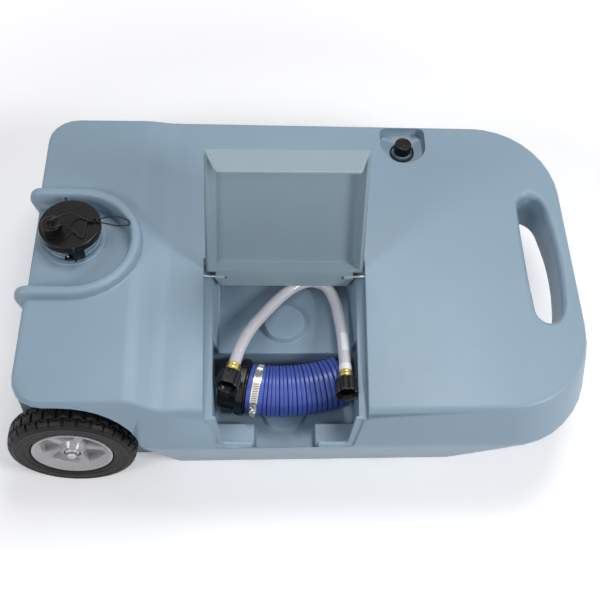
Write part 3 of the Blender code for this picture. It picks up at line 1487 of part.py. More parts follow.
def sewer_fitting():
    """Bayonet adapter in the hose's cuff, with its free-turning lug ring and seal."""
    frame = fitting_frame()
    start = CUFF_OUT + 1 * MM
    ring_start = start + 3 * MM
    ring_end = ring_start + LUG_RING_WIDTH
    end = start + ADAPTER_LENGTH
    barb = SEWER_BORE - 1.6 * MM
    bore = barb - 3 * MM
    seat = ADAPTER_RADIUS - 2 * MM
    profile = [
        (bore, -CUFF_IN + 6 * MM),
        (barb - 1 * MM, -CUFF_IN + 6 * MM),
        (barb, -CUFF_IN + 12 * MM),
        (barb, start),
        (ADAPTER_RADIUS + 3 * MM, start),
        (ADAPTER_RADIUS + 3 * MM, ring_start - GAP),
        (seat, ring_start - GAP),
        (seat, ring_end + GAP),
        (ADAPTER_RADIUS, ring_end + GAP),
        (ADAPTER_RADIUS, end - 2 * MM),
        (ADAPTER_RADIUS - 1.5 * MM, end),
        (bore, end),
    ]
    lathe(profile, frame, 28, "sewer_adapter", black_plastic())
    inner = seat + GAP
    rings = []
    sides = 40
    for i in range(sides):
        turn = 2 * math.pi * i / sides
        outer = LUG_RING_RADIUS - (1.2 * MM if i % 4 in (1, 2) else 0)
        ring = []
        for radius, h in (
            (inner, ring_start),
            (outer - 1 * MM, ring_start),
            (outer, ring_start + 1 * MM),
            (outer, ring_end - 1 * MM),
            (outer - 1 * MM, ring_end),
            (inner, ring_end),
        ):
            ring.append(frame @ Vector((radius * math.cos(turn), radius * math.sin(turn), h)))
        rings.append(ring)
    loft(rings, "lug_ring", black_plastic(), closed=True)
    seal = [
        (bore, end + GAP),
        (ADAPTER_RADIUS - 2 * MM, end + GAP),
        (ADAPTER_RADIUS - 2 * MM, end + 2.3 * MM),
        (bore, end + 2.3 * MM),
    ]
    lathe(seal, frame, 32, "adapter_seal", black_rubber())


def hose_clamp():
    """Worm-drive clamp round the cuff: band, screw housing and screw."""
    frame = fitting_frame()
    half = CLAMP_WIDTH / 2
    inner = SEWER_ROOT + 1 * MM + GAP
    outer = inner + CLAMP_THICKNESS
    middle = 1 * MM
    low = middle - half
    high = middle + half
    profile = [(inner, low), (outer, low), (outer, high), (inner, high)]
    band = lathe(profile, frame, 36, "hose_clamp", steel())
    angle = math.radians(CLAMP_ANGLE)
    out = frame.to_3x3() @ Vector((math.cos(angle), math.sin(angle), 0))
    along = frame.to_3x3() @ Vector((-math.sin(angle), math.cos(angle), 0))
    seat = frame @ Vector((0, 0, middle)) + out * (outer + 3.4 * MM)
    housing = frame_at(seat, along, out)
    side = half - 0.5 * MM
    block = [(-side, -4.6 * MM), (side, -4.6 * MM), (side, 2 * MM)]
    block += [(2.5 * MM, 4.2 * MM), (-2.5 * MM, 4.2 * MM), (-side, 2 * MM)]
    rings = [[housing @ Vector((x, y, h)) for x, y in block] for h in (-7 * MM, 7 * MM)]
    join(band, loft(rings, "clamp_housing"))
    cut(band, rod(housing, 3.3 * MM, -9 * MM, 9 * MM, 16, "clamp_screw_bore"))
    screw = rod(housing, 3 * MM, -6.5 * MM, 8 * MM, 16, "clamp_screw", steel(), chamfer=0.4 * MM)
    head = rod(housing, 4.2 * MM, 7.5 * MM, 12 * MM, 6, "clamp_screw_head")
    join(screw, head)


# Rinse hose


def rinse_hose():
    """Rinse hose bent double over the sewer hose, with a ferrule and coupling each end."""
    route = [(BAY_CENTRE + x * MM, y * MM, z * MM) for x, y, z in RINSE_ROUTE]
    places, length = smooth_route(route, 0.55 * RINSE_DIAMETER)
    print(f"rinse_hose length {length * 1000:.1f} mm")
    cord(places, RINSE_DIAMETER, 4, "rinse_hose", rinse_vinyl())
    rinse_end(frame_at(places[0], places[0] - places[1]), "left")
    rinse_end(frame_at(places[-1], places[-1] - places[-2]), "right")


def rinse_end(frame, label):
    """Brass ferrule crimped behind a swivelling coupling with its washer."""
    bore = 7 * MM
    tail = FERRULE_LENGTH + 6 * MM
    start = GAP
    profile = [
        (bore, start),
        (FERRULE_RADIUS - 0.6 * MM, start),
        (FERRULE_RADIUS, start + 1 * MM),
        (FERRULE_RADIUS, FERRULE_LENGTH - 1 * MM),
        (FERRULE_RADIUS - 0.8 * MM, FERRULE_LENGTH),
        (9 * MM, FERRULE_LENGTH),
        (9 * MM, tail),
        (11 * MM, tail),
        (11 * MM, tail + 2 * MM),
        (bore, tail + 2 * MM),
    ]
    lathe(profile, frame, 20, f"ferrule_{label}", brass())
    nut_start = FERRULE_LENGTH + GAP
    nut_end = nut_start + COUPLING_LENGTH
    sides = 8
    rings = []
    for radius, h in (
        (COUPLING_RADIUS - 2.5 * MM, nut_start),
        (COUPLING_RADIUS - 0.5 * MM, nut_start + 3 * MM),
        (COUPLING_RADIUS, nut_end - 3 * MM),
        (COUPLING_RADIUS - 1 * MM, nut_end),
    ):
        ring = []
        for i in range(sides * 2):
            turn = 2 * math.pi * (i + 0.5) / (sides * 2)
            size = radius if i % 2 else radius * 0.985
            size *= 0.955 if i % 4 in (1, 2) else 1.0
            ring.append(frame @ Vector((size * math.cos(turn), size * math.sin(turn), h)))
        rings.append(ring)
    nut = loft(rings, f"coupling_{label}", black_plastic())
    cut(nut, rod(frame, 9 * MM + GAP, 0, nut_end, 20, f"coupling_tail_{label}"))
    name = f"coupling_mouth_{label}"
    cut(nut, rod(frame, COUPLING_MOUTH, tail - GAP, nut_end + OUTSIDE, 24, name))
    washer = [
        (7.5 * MM, tail + 2 * MM + GAP),
        (12.6 * MM, tail + 2 * MM + GAP),
        (12.6 * MM, tail + 5 * MM),
        (7.5 * MM, tail + 5 * MM),
    ]
    lathe(washer, frame, 24, f"rinse_washer_{label}", black_rubber())


def build():
    clear_scene()
    tank_shell()
    spout()
    cap_seal()
    bayonet_cap()
    hose_cap()
    cap_tether()
    vent()
    lid()
    wheels()
    sewer_hose()
    sewer_fitting()
    hose_clamp()
    rinse_hose()


build()
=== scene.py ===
"""Looks of the portable waste water tank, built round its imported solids."""

import math

import bmesh
import bpy
import numpy as np
from mathutils import Matrix, Vector
from mathutils.bvhtree import BVHTree


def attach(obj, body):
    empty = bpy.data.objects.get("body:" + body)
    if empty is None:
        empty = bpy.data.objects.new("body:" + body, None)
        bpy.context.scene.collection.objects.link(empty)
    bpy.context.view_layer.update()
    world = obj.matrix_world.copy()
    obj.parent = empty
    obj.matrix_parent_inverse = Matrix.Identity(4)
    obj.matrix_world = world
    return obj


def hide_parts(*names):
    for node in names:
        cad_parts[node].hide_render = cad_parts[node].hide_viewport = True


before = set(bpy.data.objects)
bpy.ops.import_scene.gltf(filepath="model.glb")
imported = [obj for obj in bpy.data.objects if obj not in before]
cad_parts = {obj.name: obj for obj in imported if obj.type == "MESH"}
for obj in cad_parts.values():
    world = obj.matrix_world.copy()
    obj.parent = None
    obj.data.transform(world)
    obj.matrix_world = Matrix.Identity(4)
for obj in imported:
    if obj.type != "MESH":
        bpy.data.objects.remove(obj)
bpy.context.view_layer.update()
scene = bpy.context.scene

# Camera
# The photograph was taken from above the hose compartment's side with a short
# telephoto lens. The place and turn come from the fit that also gave the sizes.

CAMERA_PLACE = (-0.0605, -0.9848, 1.5751)
CAMERA_PITCH = 0.98203
CAMERA_YAW = 0.06688
CAMERA_ROLL = -0.05848
CAMERA_LENS = 60.52
CAMERA_SENSOR = 36.0
CAMERA_SIGHT = 20.0


def camera_turn(pitch, yaw, roll):
    """Columns right, up and back of a camera that looks down by pitch.

    Forward is turned by yaw from +Y, right is level, and both right and up are then
    turned by roll about forward.
    """
    forward = Vector((
        math.sin(yaw) * math.cos(pitch),
        math.cos(yaw) * math.cos(pitch),
        -math.sin(pitch),
    ))
    level = Vector((math.cos(yaw), -math.sin(yaw), 0.0))
    down = forward.cross(level)
    right = level * math.cos(roll) + down * math.sin(roll)
    down = down * math.cos(roll) - level * math.sin(roll)
    return Matrix((right, -down, -forward)).transposed().to_4x4()


lens = bpy.data.cameras.new("camera")
lens.lens = CAMERA_LENS
lens.sensor_width = CAMERA_SENSOR
lens.clip_end = CAMERA_SIGHT
camera = bpy.data.objects.new("camera", lens)
scene.collection.objects.link(camera)
camera.matrix_world = Matrix.Translation(CAMERA_PLACE) @ camera_turn(
    CAMERA_PITCH, CAMERA_YAW, CAMERA_ROLL
)
scene.camera = camera

# Rinse hose
# A short garden-type hose of thick, opaque grey vinyl over a braid that barely shows,
# bent double and laid in the compartment. A white band and a bare label are round it.

MM = 0.001
BAY_CENTRE = -0.0247
RINSE_DIAMETER = 19 * MM
RINSE_LENGTH = 433 * MM
RINSE_STEP = 1.6 * MM
RINSE_SIDES = 48
BRAID_STRANDS = 8
BRAID_PITCH = 26 * MM
BRAID_SHARPNESS = 6
BRAID_SHOWING = 0.5
RINSE_ROUTE = (
    (-80, -193, 203), (-71, -160, 200), (-56, -124, 194.5), (-37, -93, 188.5),
    (-17, -66.5, 186), (4, -43.5, 185), (24, -28.5, 185), (46, -22.5, 186),
    (67, -29, 185), (79, -46, 184), (86, -70, 184.5), (90, -100, 187.5),
    (92.5, -131, 193.5), (93.5, -164, 200), (94, -198, 205.5), (94, -209, 207),
)
BAND_FROM_END = (0.5 * MM, 13 * MM)
BAND_THICKNESS = 0.45 * MM
BAND_LIP = 0.985
LABEL_FROM_END = (38 * MM, 76 * MM)
LABEL_THICKNESS = 0.3 * MM
LABEL_ARC = (42, 112)
LABEL_STEPS = 15
COAT_ROUGHNESS = 0.12
CLOUD_DETAIL = 5.0
FINE_DETAIL = 3.0
SHINE_QUICKER = 3.1
SHINE_SPAN = (0.3, 0.7)


def srgb(red, green, blue):
    """Linear colour of an sRGB colour given from 0 to 255."""
    return tuple(((c / 255 + 0.055) / 1.055) ** 2.4 for c in (red, green, blue))


def smooth_route(points, spacing, cuts=24):
    """Places every so often along a smooth curve through the points.

    Between points b and c, with a before and d after, the curve is half of 2b + (c - a)t
    + (2a - 5b + 4c - d)t^2 + (3b - a - 3c + d)t^3 at so many cuts of t from 0 to 1. It is
    then cut anew at even lengths, with straight lines between the first cuts.
    """
    points = np.asarray(points, float)
    ends = np.vstack((2 * points[0] - points[1], points, 2 * points[-1] - points[-2]))
    a, b, c, d = (ends[i : len(ends) - 3 + i, None] for i in range(4))
    t = np.linspace(0, 1, cuts, endpoint=False)[None, :, None]
    curve = 2 * b + (c - a) * t
    curve = curve + (2 * a - 5 * b + 4 * c - d) * t**2 + (3 * b - a - 3 * c + d) * t**3
    curve = np.vstack((0.5 * curve.reshape(-1, 3), points[-1]))
    steps = np.linalg.norm(np.diff(curve, axis=0), axis=1)
    reach = np.concatenate(([0], np.cumsum(steps)))
    even = np.linspace(0, reach[-1], max(2, round(reach[-1] / spacing)) + 1)
    return np.stack([np.interp(even, reach, curve[:, k]) for k in range(3)], axis=1)


def unit(arrows):
    """The arrows at length one."""
    return arrows / np.linalg.norm(arrows, axis=-1, keepdims=True)


def circle(radius, sides):
    """Points of a circle, as radius times cosine and sine of even angles."""
    turn = 2 * np.pi * np.arange(sides) / sides
    return np.stack((radius * np.cos(turn), radius * np.sin(turn)), axis=-1)


def tube_grid(path, section, up=(0, 0, 1)):
    """Rows of points, the section carried along the path.

    Each row is path + x * side + y * top, where side is up crossed with the path's
    direction, top is the direction crossed with side, and x, y is the section.
    """
    along = unit(np.gradient(path, axis=0))
    side = unit(np.cross(up, along))
    top = np.cross(along, side)
    section = np.broadcast_to(section, (len(path), *np.shape(section)[-2:]))
    return path[:, None] + section[..., :1] * side[:, None] + section[..., 1:] * top[:, None]


def skin(name, grid, stuff, body, loop=False, pattern_and_shade=None, crease=40.0):
    """Closed mesh over rows of points, each row closed on itself.

    A cell of rows i, i+1 and points j, j+1 is one face. The end rows are capped, or in a
    loop joined to each other. The faces are turned over if the volume they enclose,
    a sixth of the sum of p0 . (p1 x p2) over their triangles, is negative. The map named
    run has the share round the row across and the share along the rows up. Edges sharper
    than the crease stay sharp.
    """
    rows, sides = grid.shape[:2]
    index = np.arange(rows * sides).reshape(rows, sides)
    after = np.roll(index, -1, axis=1)
    upper, beyond = np.roll(index, -1, axis=0), np.roll(after, -1, axis=0)
    count = rows if loop else rows - 1
    quads = np.stack((index, after, beyond, upper), axis=-1)[:count].reshape(-1, 4)
    caps = [] if loop else [index[0][::-1], index[-1]]
    points = grid.reshape(-1, 3)
    out = points - points.mean(axis=0)
    p = out[quads]
    volume = (p[:, 0] * np.cross(p[:, 1], p[:, 2])).sum()
    volume += (p[:, 0] * np.cross(p[:, 2], p[:, 3])).sum()
    for cap in caps:
        rim = out[cap]
        volume += (rim.mean(axis=0) * np.cross(rim, np.roll(rim, -1, axis=0))).sum()
    across = np.linspace(0, 1, sides + 1)
    low = np.broadcast_to(np.arange(count)[:, None] / rows, (count, sides))
    left = np.broadcast_to(across[:-1], (count, sides))
    right = np.broadcast_to(across[1:], (count, sides))
    high = low + 1 / rows
    run = np.stack((left, low, right, low, right, high, left, high), axis=-1).reshape(-1, 4, 2)
    if volume < 0:
        quads, caps, run = quads[:, ::-1], [cap[::-1] for cap in caps], run[:, ::-1]
    mesh = bpy.data.meshes.new(name)
    mesh.from_pydata(points.tolist(), [], quads.tolist() + [cap.tolist() for cap in caps])
    flat = np.zeros((len(mesh.loops), 2), dtype=np.float32)
    flat[: len(quads) * 4] = run.reshape(-1, 2)
    mesh.uv_layers.new(name="run").data.foreach_set("uv", flat.ravel())
    # The value kept on each point is a real pattern on some pieces, and painted shade in grooves,
    # slots and a bore on others.
    if pattern_and_shade is not None:
        layer = mesh.attributes.new("pattern_and_shade", "FLOAT", "POINT")
        layer.data.foreach_set("value", np.asarray(pattern_and_shade, np.float32).ravel())
    mesh.shade_smooth()
    mesh.set_sharp_from_angle(angle=math.radians(crease))
    mesh.materials.append(stuff)
    piece = bpy.data.objects.new(name, mesh)
    scene.collection.objects.link(piece)
    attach(piece, body)
    return piece


def finish(
    name, colour, rough, cloud=8.0, mottle=0.06, grain=700.0, bump=0.2, height=0.3,
    uneven=0.06, metal=0.0, coat=0.0, gloss=0.5, pattern_and_shade_colour=None,
):
    """A finish with a cloudy tone, an uneven shine and a fine grain.

    A slow noise, cloud, takes the tone from the colour less twice the mottle to the
    colour plus it. A quicker one takes the roughness to either side by uneven. The grain
    is a bump of the height, in mm, from the quickest. With a second colour, the value kept
    on each point mixes the tone towards it: on some pieces a real pattern, on others
    painted shade in grooves, slots and a bore.
    """
    stuff = bpy.data.materials.new(name)
    stuff.use_nodes = True
    nodes, links = stuff.node_tree.nodes, stuff.node_tree.links
    shader = nodes["Principled BSDF"]
    shader.inputs["Metallic"].default_value = metal
    shader.inputs["Coat Weight"].default_value = coat
    shader.inputs["Specular IOR Level"].default_value = gloss
    shader.inputs["Coat Roughness"].default_value = COAT_ROUGHNESS
    place = nodes.new("ShaderNodeTexCoord")
    noises = []
    quicker = cloud * SHINE_QUICKER
    for scale, detail in ((cloud, CLOUD_DETAIL), (quicker, FINE_DETAIL), (grain, FINE_DETAIL)):
        noise = nodes.new("ShaderNodeTexNoise")
        noise.inputs["Scale"].default_value = scale
        noise.inputs["Detail"].default_value = detail
        links.new(place.outputs["Object"], noise.inputs["Vector"])
        noises.append(noise.outputs["Fac"])
    tone = nodes.new("ShaderNodeMix")
    tone.data_type = "RGBA"
    tone.inputs["A"].default_value = (*(c * (1 - 2 * mottle) for c in colour), 1)
    tone.inputs["B"].default_value = (*(min(1, c * (1 + 2 * mottle)) for c in colour), 1)
    links.new(noises[0], tone.inputs["Factor"])
    # The kept value mixes towards the second colour: a real braid pattern on the rinse hose,
    # painted shade in the tyre's grooves, the sewer hose's grooves and bore, and the clamp's
    # slots.
    if pattern_and_shade_colour:
        kept = nodes.new("ShaderNodeAttribute")
        kept.attribute_name = "pattern_and_shade"
        down = nodes.new("ShaderNodeMix")
        down.data_type = "RGBA"
        down.inputs["B"].default_value = (*pattern_and_shade_colour, 1)
        links.new(kept.outputs["Fac"], down.inputs["Factor"])
        links.new(tone.outputs["Result"], down.inputs["A"])
        tone = down
    links.new(tone.outputs["Result"], shader.inputs["Base Color"])
    shine = nodes.new("ShaderNodeMapRange")
    shine.inputs["From Min"].default_value = SHINE_SPAN[0]
    shine.inputs["From Max"].default_value = SHINE_SPAN[1]
    shine.inputs["To Min"].default_value = rough - uneven
    shine.inputs["To Max"].default_value = rough + uneven
    links.new(noises[1], shine.inputs["Value"])
    links.new(shine.outputs["Result"], shader.inputs["Roughness"])
    relief = nodes.new("ShaderNodeBump")
    relief.inputs["Strength"].default_value = bump
    relief.inputs["Distance"].default_value = height * MM
    links.new(noises[2], relief.inputs["Height"])
    links.new(relief.outputs["Normal"], shader.inputs["Normal"])
    return stuff


def frame_at(place, outward):
    """Four by four axes at a place, the third pointing outward, the second nearly up."""
    out = unit(np.asarray(outward, float))
    side = unit(np.cross((0.0, 0.0, 1.0), out)) if abs(out[2]) < 0.99 else np.array((1.0, 0, 0))
    axes = np.eye(4)
    axes[:3, 0], axes[:3, 1], axes[:3, 2] = side, np.cross(out, side), out
    axes[:3, 3] = place
    return axes


def turned_grid(profile, sides, axes, wave=None):
    """Rows of points turned about the third of the axes, from a profile in mm.

    A row of radius r, height h and share k is the circle of r * (1 + k * wave(angle)).
    Without a share the row is round.
    """
    profile = np.array([(*row, 0.0)[:3] for row in profile]) * (MM, MM, 1)
    turn = 2 * np.pi * np.arange(sides) / sides
    ripple = wave(turn) if wave else np.zeros(sides)
    size = profile[:, :1] * (1 + profile[:, 2:] * ripple)
    high = np.broadcast_to(profile[:, 1:2], size.shape)
    local = np.stack((size * np.cos(turn), size * np.sin(turn), high, np.ones_like(size)), axis=-1)
    return (local @ axes.T)[..., :3]


rinse_points = np.array(RINSE_ROUTE) * MM + (BAY_CENTRE, 0, 0)
rinse_path = smooth_route(rinse_points, RINSE_STEP)
rinse_stuff = finish(
    "rinse_vinyl", srgb(214, 211, 217), 0.26, 14.0, 0.02, 500.0, 0.06, coat=0.4,
    pattern_and_shade_colour=srgb(188, 187, 197),
)

# The braid shows where the cosine of the strands' turn plus or minus their twist is high.
braid_turn = 2 * np.pi * BRAID_STRANDS * np.arange(RINSE_SIDES) / RINSE_SIDES
rinse_reach = np.linspace(0, RINSE_LENGTH, len(rinse_path))[:, None]
braid_twist = 2 * np.pi * rinse_reach / BRAID_PITCH
braid = np.maximum(np.cos(braid_turn + braid_twist), np.cos(braid_turn - braid_twist))
rinse_hose = skin(
    "rinse_hose_skin", tube_grid(rinse_path, circle(RINSE_DIAMETER / 2, RINSE_SIDES)),
    rinse_stuff, "tank",
    pattern_and_shade=BRAID_SHOWING * np.clip(braid, 0, 1) ** BRAID_SHARPNESS,
)
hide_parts("rinse_hose")

# The band is a short wider tube with its two lips drawn in, the label a strip over an arc.
band_stuff = finish("band_vinyl", srgb(240, 241, 241), 0.35, 30.0, 0.02, 900.0, 0.1)
rinse_left = RINSE_LENGTH - rinse_reach[:, 0]
band_path = rinse_path[(rinse_left > BAND_FROM_END[0]) & (rinse_left < BAND_FROM_END[1])]
band_size = np.full((len(band_path), 1, 1), 1.0)
band_size[[0, -1]] = BAND_LIP
band_ring = circle(RINSE_DIAMETER / 2 + BAND_THICKNESS, RINSE_SIDES)
band = skin(
    "rinse_band", tube_grid(band_path, band_ring * band_size), band_stuff, "tank"
)
label_path = rinse_path[(rinse_left > LABEL_FROM_END[0]) & (rinse_left < LABEL_FROM_END[1])]
label_turn = np.radians(np.linspace(*LABEL_ARC, LABEL_STEPS))
label_arc = np.stack((np.cos(label_turn), np.sin(label_turn)), axis=-1)
label_edge = np.vstack((
    label_arc * (RINSE_DIAMETER / 2 + LABEL_THICKNESS),
    label_arc[::-1] * (RINSE_DIAMETER / 2 - LABEL_THICKNESS),
))
label = skin("rinse_label", tube_grid(label_path, label_edge), band_stuff, "tank")

# Brass ferrules
# A drawn brass sleeve crimped round each end of the rinse hose, with the rings and flats
# that the crimping tool leaves. Its tail holds the coupling, which turns freely on it.

FERRULE_PROFILE = (
    # radius, height from the hose's end, share of the crimp's flats
    (7, 0.3), (10.6, 0.3), (11.1, 0.4), (11.4, 0.8), (11.5, 1.3), (11.5, 3.6, 1),
    (11.35, 4.1, 1), (11.3, 4.5, 1), (11.35, 4.9, 1), (11.5, 5.4, 1), (11.5, 9.8, 1),
    (11.35, 10.3, 1), (11.3, 10.7, 1), (11.35, 11.1, 1), (11.5, 11.6, 1), (11.5, 13.9),
    (11.3, 14.6), (10.7, 15), (9, 15), (9, 21), (11, 21), (11, 23), (7, 23),
)
FERRULE_SIDES = 96
CRIMP_FLATS = 8
CRIMP_DEPTH = 0.004
FITTING_STEP = 0.55 * RINSE_DIAMETER
brass_stuff = finish(
    "ferrule_brass", (0.66, 0.50, 0.15), 0.3, 60.0, 0.08, 1500.0, 0.02, uneven=0.05, metal=1.0
)

# The fittings of the solids stand square to the end steps of a coarser cut of the route.
fitting_steps = smooth_route(rinse_points, FITTING_STEP)
end_axes = {
    "left": frame_at(fitting_steps[0], fitting_steps[0] - fitting_steps[1]),
    "right": frame_at(fitting_steps[-1], fitting_steps[-1] - fitting_steps[-2]),
}
rinse_ends = [band, label]


def crimp(turn):
    """Shallow flats: the cosine of eight times the angle, less its peak, times the depth."""
    return -CRIMP_DEPTH * (1 - np.cos(CRIMP_FLATS * turn))


for name, axes in end_axes.items():
    grid = turned_grid(FERRULE_PROFILE, FERRULE_SIDES, axes, crimp)
    ferrule = skin(f"ferrule_{name}_brass", grid, brass_stuff, "tank", loop=True)
    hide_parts(f"ferrule_{name}")
    rinse_ends.append(ferrule)

# Swivel couplings
# Moulded black nylon female couplings, lobed for the fingers, each with a rubber washer
# at the foot of its mouth. The thread shows as rings inside the mouth.

COUPLING_PROFILE = (
    # radius, height from the hose's end, share of the lobes
    (9.6, 15.3), (14.6, 15.3, 0.5), (15.8, 15.7, 1), (17.4, 17.4, 1), (18.0, 19.4, 1.2),
    (18.2, 24, 1.3), (18.2, 36, 1.3), (18.2, 39, 1.3), (18.2, 40.6, 1.4), (18.2, 42.0, 1.4),
    (17.9, 42.9, 1.4), (17.3, 43.3, 1.2), (16.4, 43.3, 0.4), (15.8, 42.9), (13.9, 40.9),
    (13.9, 40.4), (13.3, 39.4), (13.9, 38.2), (13.3, 37), (13.9, 35.8), (13.3, 34.6),
    (13.9, 33.4), (13.3, 32.2), (13.3, 20.7), (9.6, 20.7),
)
COUPLING_SIDES = 128
LOBES = 8
LOBE_DEPTH = 0.075
WASHER_PROFILE = (
    (7.5, 23.3), (12.3, 23.3), (12.6, 23.6), (12.6, 25.7), (12.3, 26), (7.8, 26), (7.5, 25.7),
)
WASHER_SIDES = 64
coupling_stuff = finish(
    "coupling_nylon", srgb(17, 16, 17), 0.26, 40.0, 0.12, 900.0, 0.08, gloss=0.4
)
washer_stuff = finish("washer_rubber", srgb(30, 29, 31), 0.6, 60.0, 0.15, 1200.0, 0.2, gloss=0.3)


def lobes(turn):
    """Broad lobes, narrow hollows: the square of (1 + cosine) / 2, times the depth."""
    return -LOBE_DEPTH * (0.5 + 0.5 * np.cos(LOBES * turn)) ** 2


for name, axes in end_axes.items():
    body = f"coupling_{name}"
    grid = turned_grid(COUPLING_PROFILE, COUPLING_SIDES, axes, lobes)
    nut = skin(f"coupling_{name}_nut", grid, coupling_stuff, body, loop=True)
    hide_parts(f"coupling_{name}")
    grid = turned_grid(WASHER_PROFILE, WASHER_SIDES, axes)
    seat = skin(
        f"rinse_washer_{name}_ring", grid, washer_stuff, body, loop=True
    )
    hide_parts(f"rinse_washer_{name}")
    rinse_ends += [nut, seat]

# Cap cord
# A thin black rubber cord through the small cap's eye. It crosses the large cap, is
# knotted to itself, and ends in a loop that stands out past the cap's edge.

SPOUT_X, SPOUT_Y = -0.3737, 0.031
CAP_TOP = 271.7
CORD_DIAMETER = 2.5 * MM

# Heights of the cord on the large cap, over the small cap, and where its loop hangs out.
CORD_LIE = 273.25
CORD_TOP = 295.35
CORD_END = 272.2
CORD_EYE = (-24.5, -15.4, 296.2)
CORD_STEP = 1.2 * MM
CORD_SIDES = 14
KNOT_RADIUS = 1.15 * MM
KNOT_SIDES = 12
KNOT_STEPS = 26
CORD_ROUTE = (
    (28, 3, CORD_LIE), (27, -8, CORD_LIE), (26.5, -22, CORD_LIE), (22, -29.5, CORD_LIE),
    (16, -25, CORD_LIE + 0.5), (9, -17.5, CORD_LIE + 3), (0, -16, CORD_LIE + 11),
    (-7, -19.5, CORD_TOP - 2), (-13, -24, CORD_TOP), (-19, -26.5, CORD_TOP + 0.5),
    (-23.5, -24.9, 296.2), (-24.5, -19.4, 296.2), CORD_EYE, (-22, -10.4, 297.2),
    (-14.5, -5.4, 296.2), (-4, 4, CORD_LIE + 17), (6, 13, CORD_LIE + 9),
    (15, 12.5, CORD_LIE + 2.5), (23, 8.5, CORD_LIE), (34, 7.5, CORD_LIE), (47, 9, CORD_LIE),
    (62, 13, CORD_END + 1.5), (78, 14, CORD_END), (92, 9.5, CORD_END - 1.5),
    (97, 3.5, CORD_END - 2), (92, -1.5, CORD_END - 1.5), (78, -4, CORD_END),
    (62, -1.5, CORD_END + 1.5), (47, 2.5, CORD_LIE), (35, 3.2, CORD_LIE),
)
rubber_stuff = finish(
    "cord_rubber", srgb(16, 16, 18), 0.42, 60.0, 0.15, 1500.0, 0.15, gloss=0.3,
    pattern_and_shade_colour=srgb(12, 12, 13),
)
cord_points = np.array(CORD_ROUTE) * MM + (SPOUT_X, SPOUT_Y, 0)
cord_path = smooth_route(cord_points, CORD_STEP)
cap_cord = skin(
    "cap_tether_cord", tube_grid(cord_path, circle(CORD_DIAMETER / 2, CORD_SIDES)),
    rubber_stuff, "outlet_cap", pattern_and_shade=np.zeros((len(cord_path), CORD_SIDES)),
)
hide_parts("cap_tether")


def wrapped(first, last, y, z, wide, tall, turns):
    """A helix along X from first to last: y + wide * cos, z + tall * sin of its turn."""
    turn = np.linspace(0, 2 * np.pi * turns, int(KNOT_STEPS * turns))
    x = np.linspace(first, last, len(turn))
    places = np.stack((x, y + wide * np.cos(turn), z + tall * np.sin(turn)), axis=-1) * MM
    return places + (SPOUT_X, SPOUT_Y, 0)


for name, coil in (
    ("cap_knot", wrapped(29, 40, 5.4, CORD_LIE + 2.1, 4.0, 2.0, 4.2)),
    ("cap_loop_knot", wrapped(43, 46.5, 5.6, CORD_LIE + 1.9, 3.4, 1.8, 1.6)),
):
    skin(
        name, tube_grid(coil, circle(KNOT_RADIUS, KNOT_SIDES), up=(1, 0, 0)), rubber_stuff,
        "outlet_cap", pattern_and_shade=np.zeros((len(coil), KNOT_SIDES)),
    )

# Floor and light
# A seamless white sheet under large soft lamps, as in a shop's catalogue picture. The
# sheet shows white to the camera and in reflections, and keeps the tank's own shadow.

FLOOR_HALF = 6.0
FLOOR_COLOUR = (0.86, 0.86, 0.87, 1)
GLOW_REACH = (0.75, 2.4)
GLOW_STRENGTH = (0.27, 1.0)
SKY_COLOUR = (0.93, 0.95, 1.0, 1)
SKY_STRENGTH = 0.18
LAMPS = (
    # name, place, aimed at, size, power
    ("left_lamp", (-1.7, -1.5, 1.9), (0.0, 0.0, 0.15), 0.7, 17.0),
    ("right_lamp", (1.9, -1.3, 1.75), (0.0, 0.0, 0.15), 0.6, 35.0),
    ("top_lamp", (0.3, 0.55, 2.5), (0.0, 0.0, 0.2), 1.0, 26.0),
)


def white_seen_by(tree):
    """One for rays from the camera and those of mirrors and glass, nought for the others."""
    path = tree.nodes.new("ShaderNodeLightPath")
    either = tree.nodes.new("ShaderNodeMath")
    either.operation = "MAXIMUM"
    tree.links.new(path.outputs["Is Camera Ray"], either.inputs[0])
    tree.links.new(path.outputs["Is Glossy Ray"], either.inputs[1])
    every = tree.nodes.new("ShaderNodeMath")
    every.operation = "MAXIMUM"
    tree.links.new(either.outputs[0], every.inputs[0])
    tree.links.new(path.outputs["Is Transmission Ray"], every.inputs[1])
    return every.outputs[0]


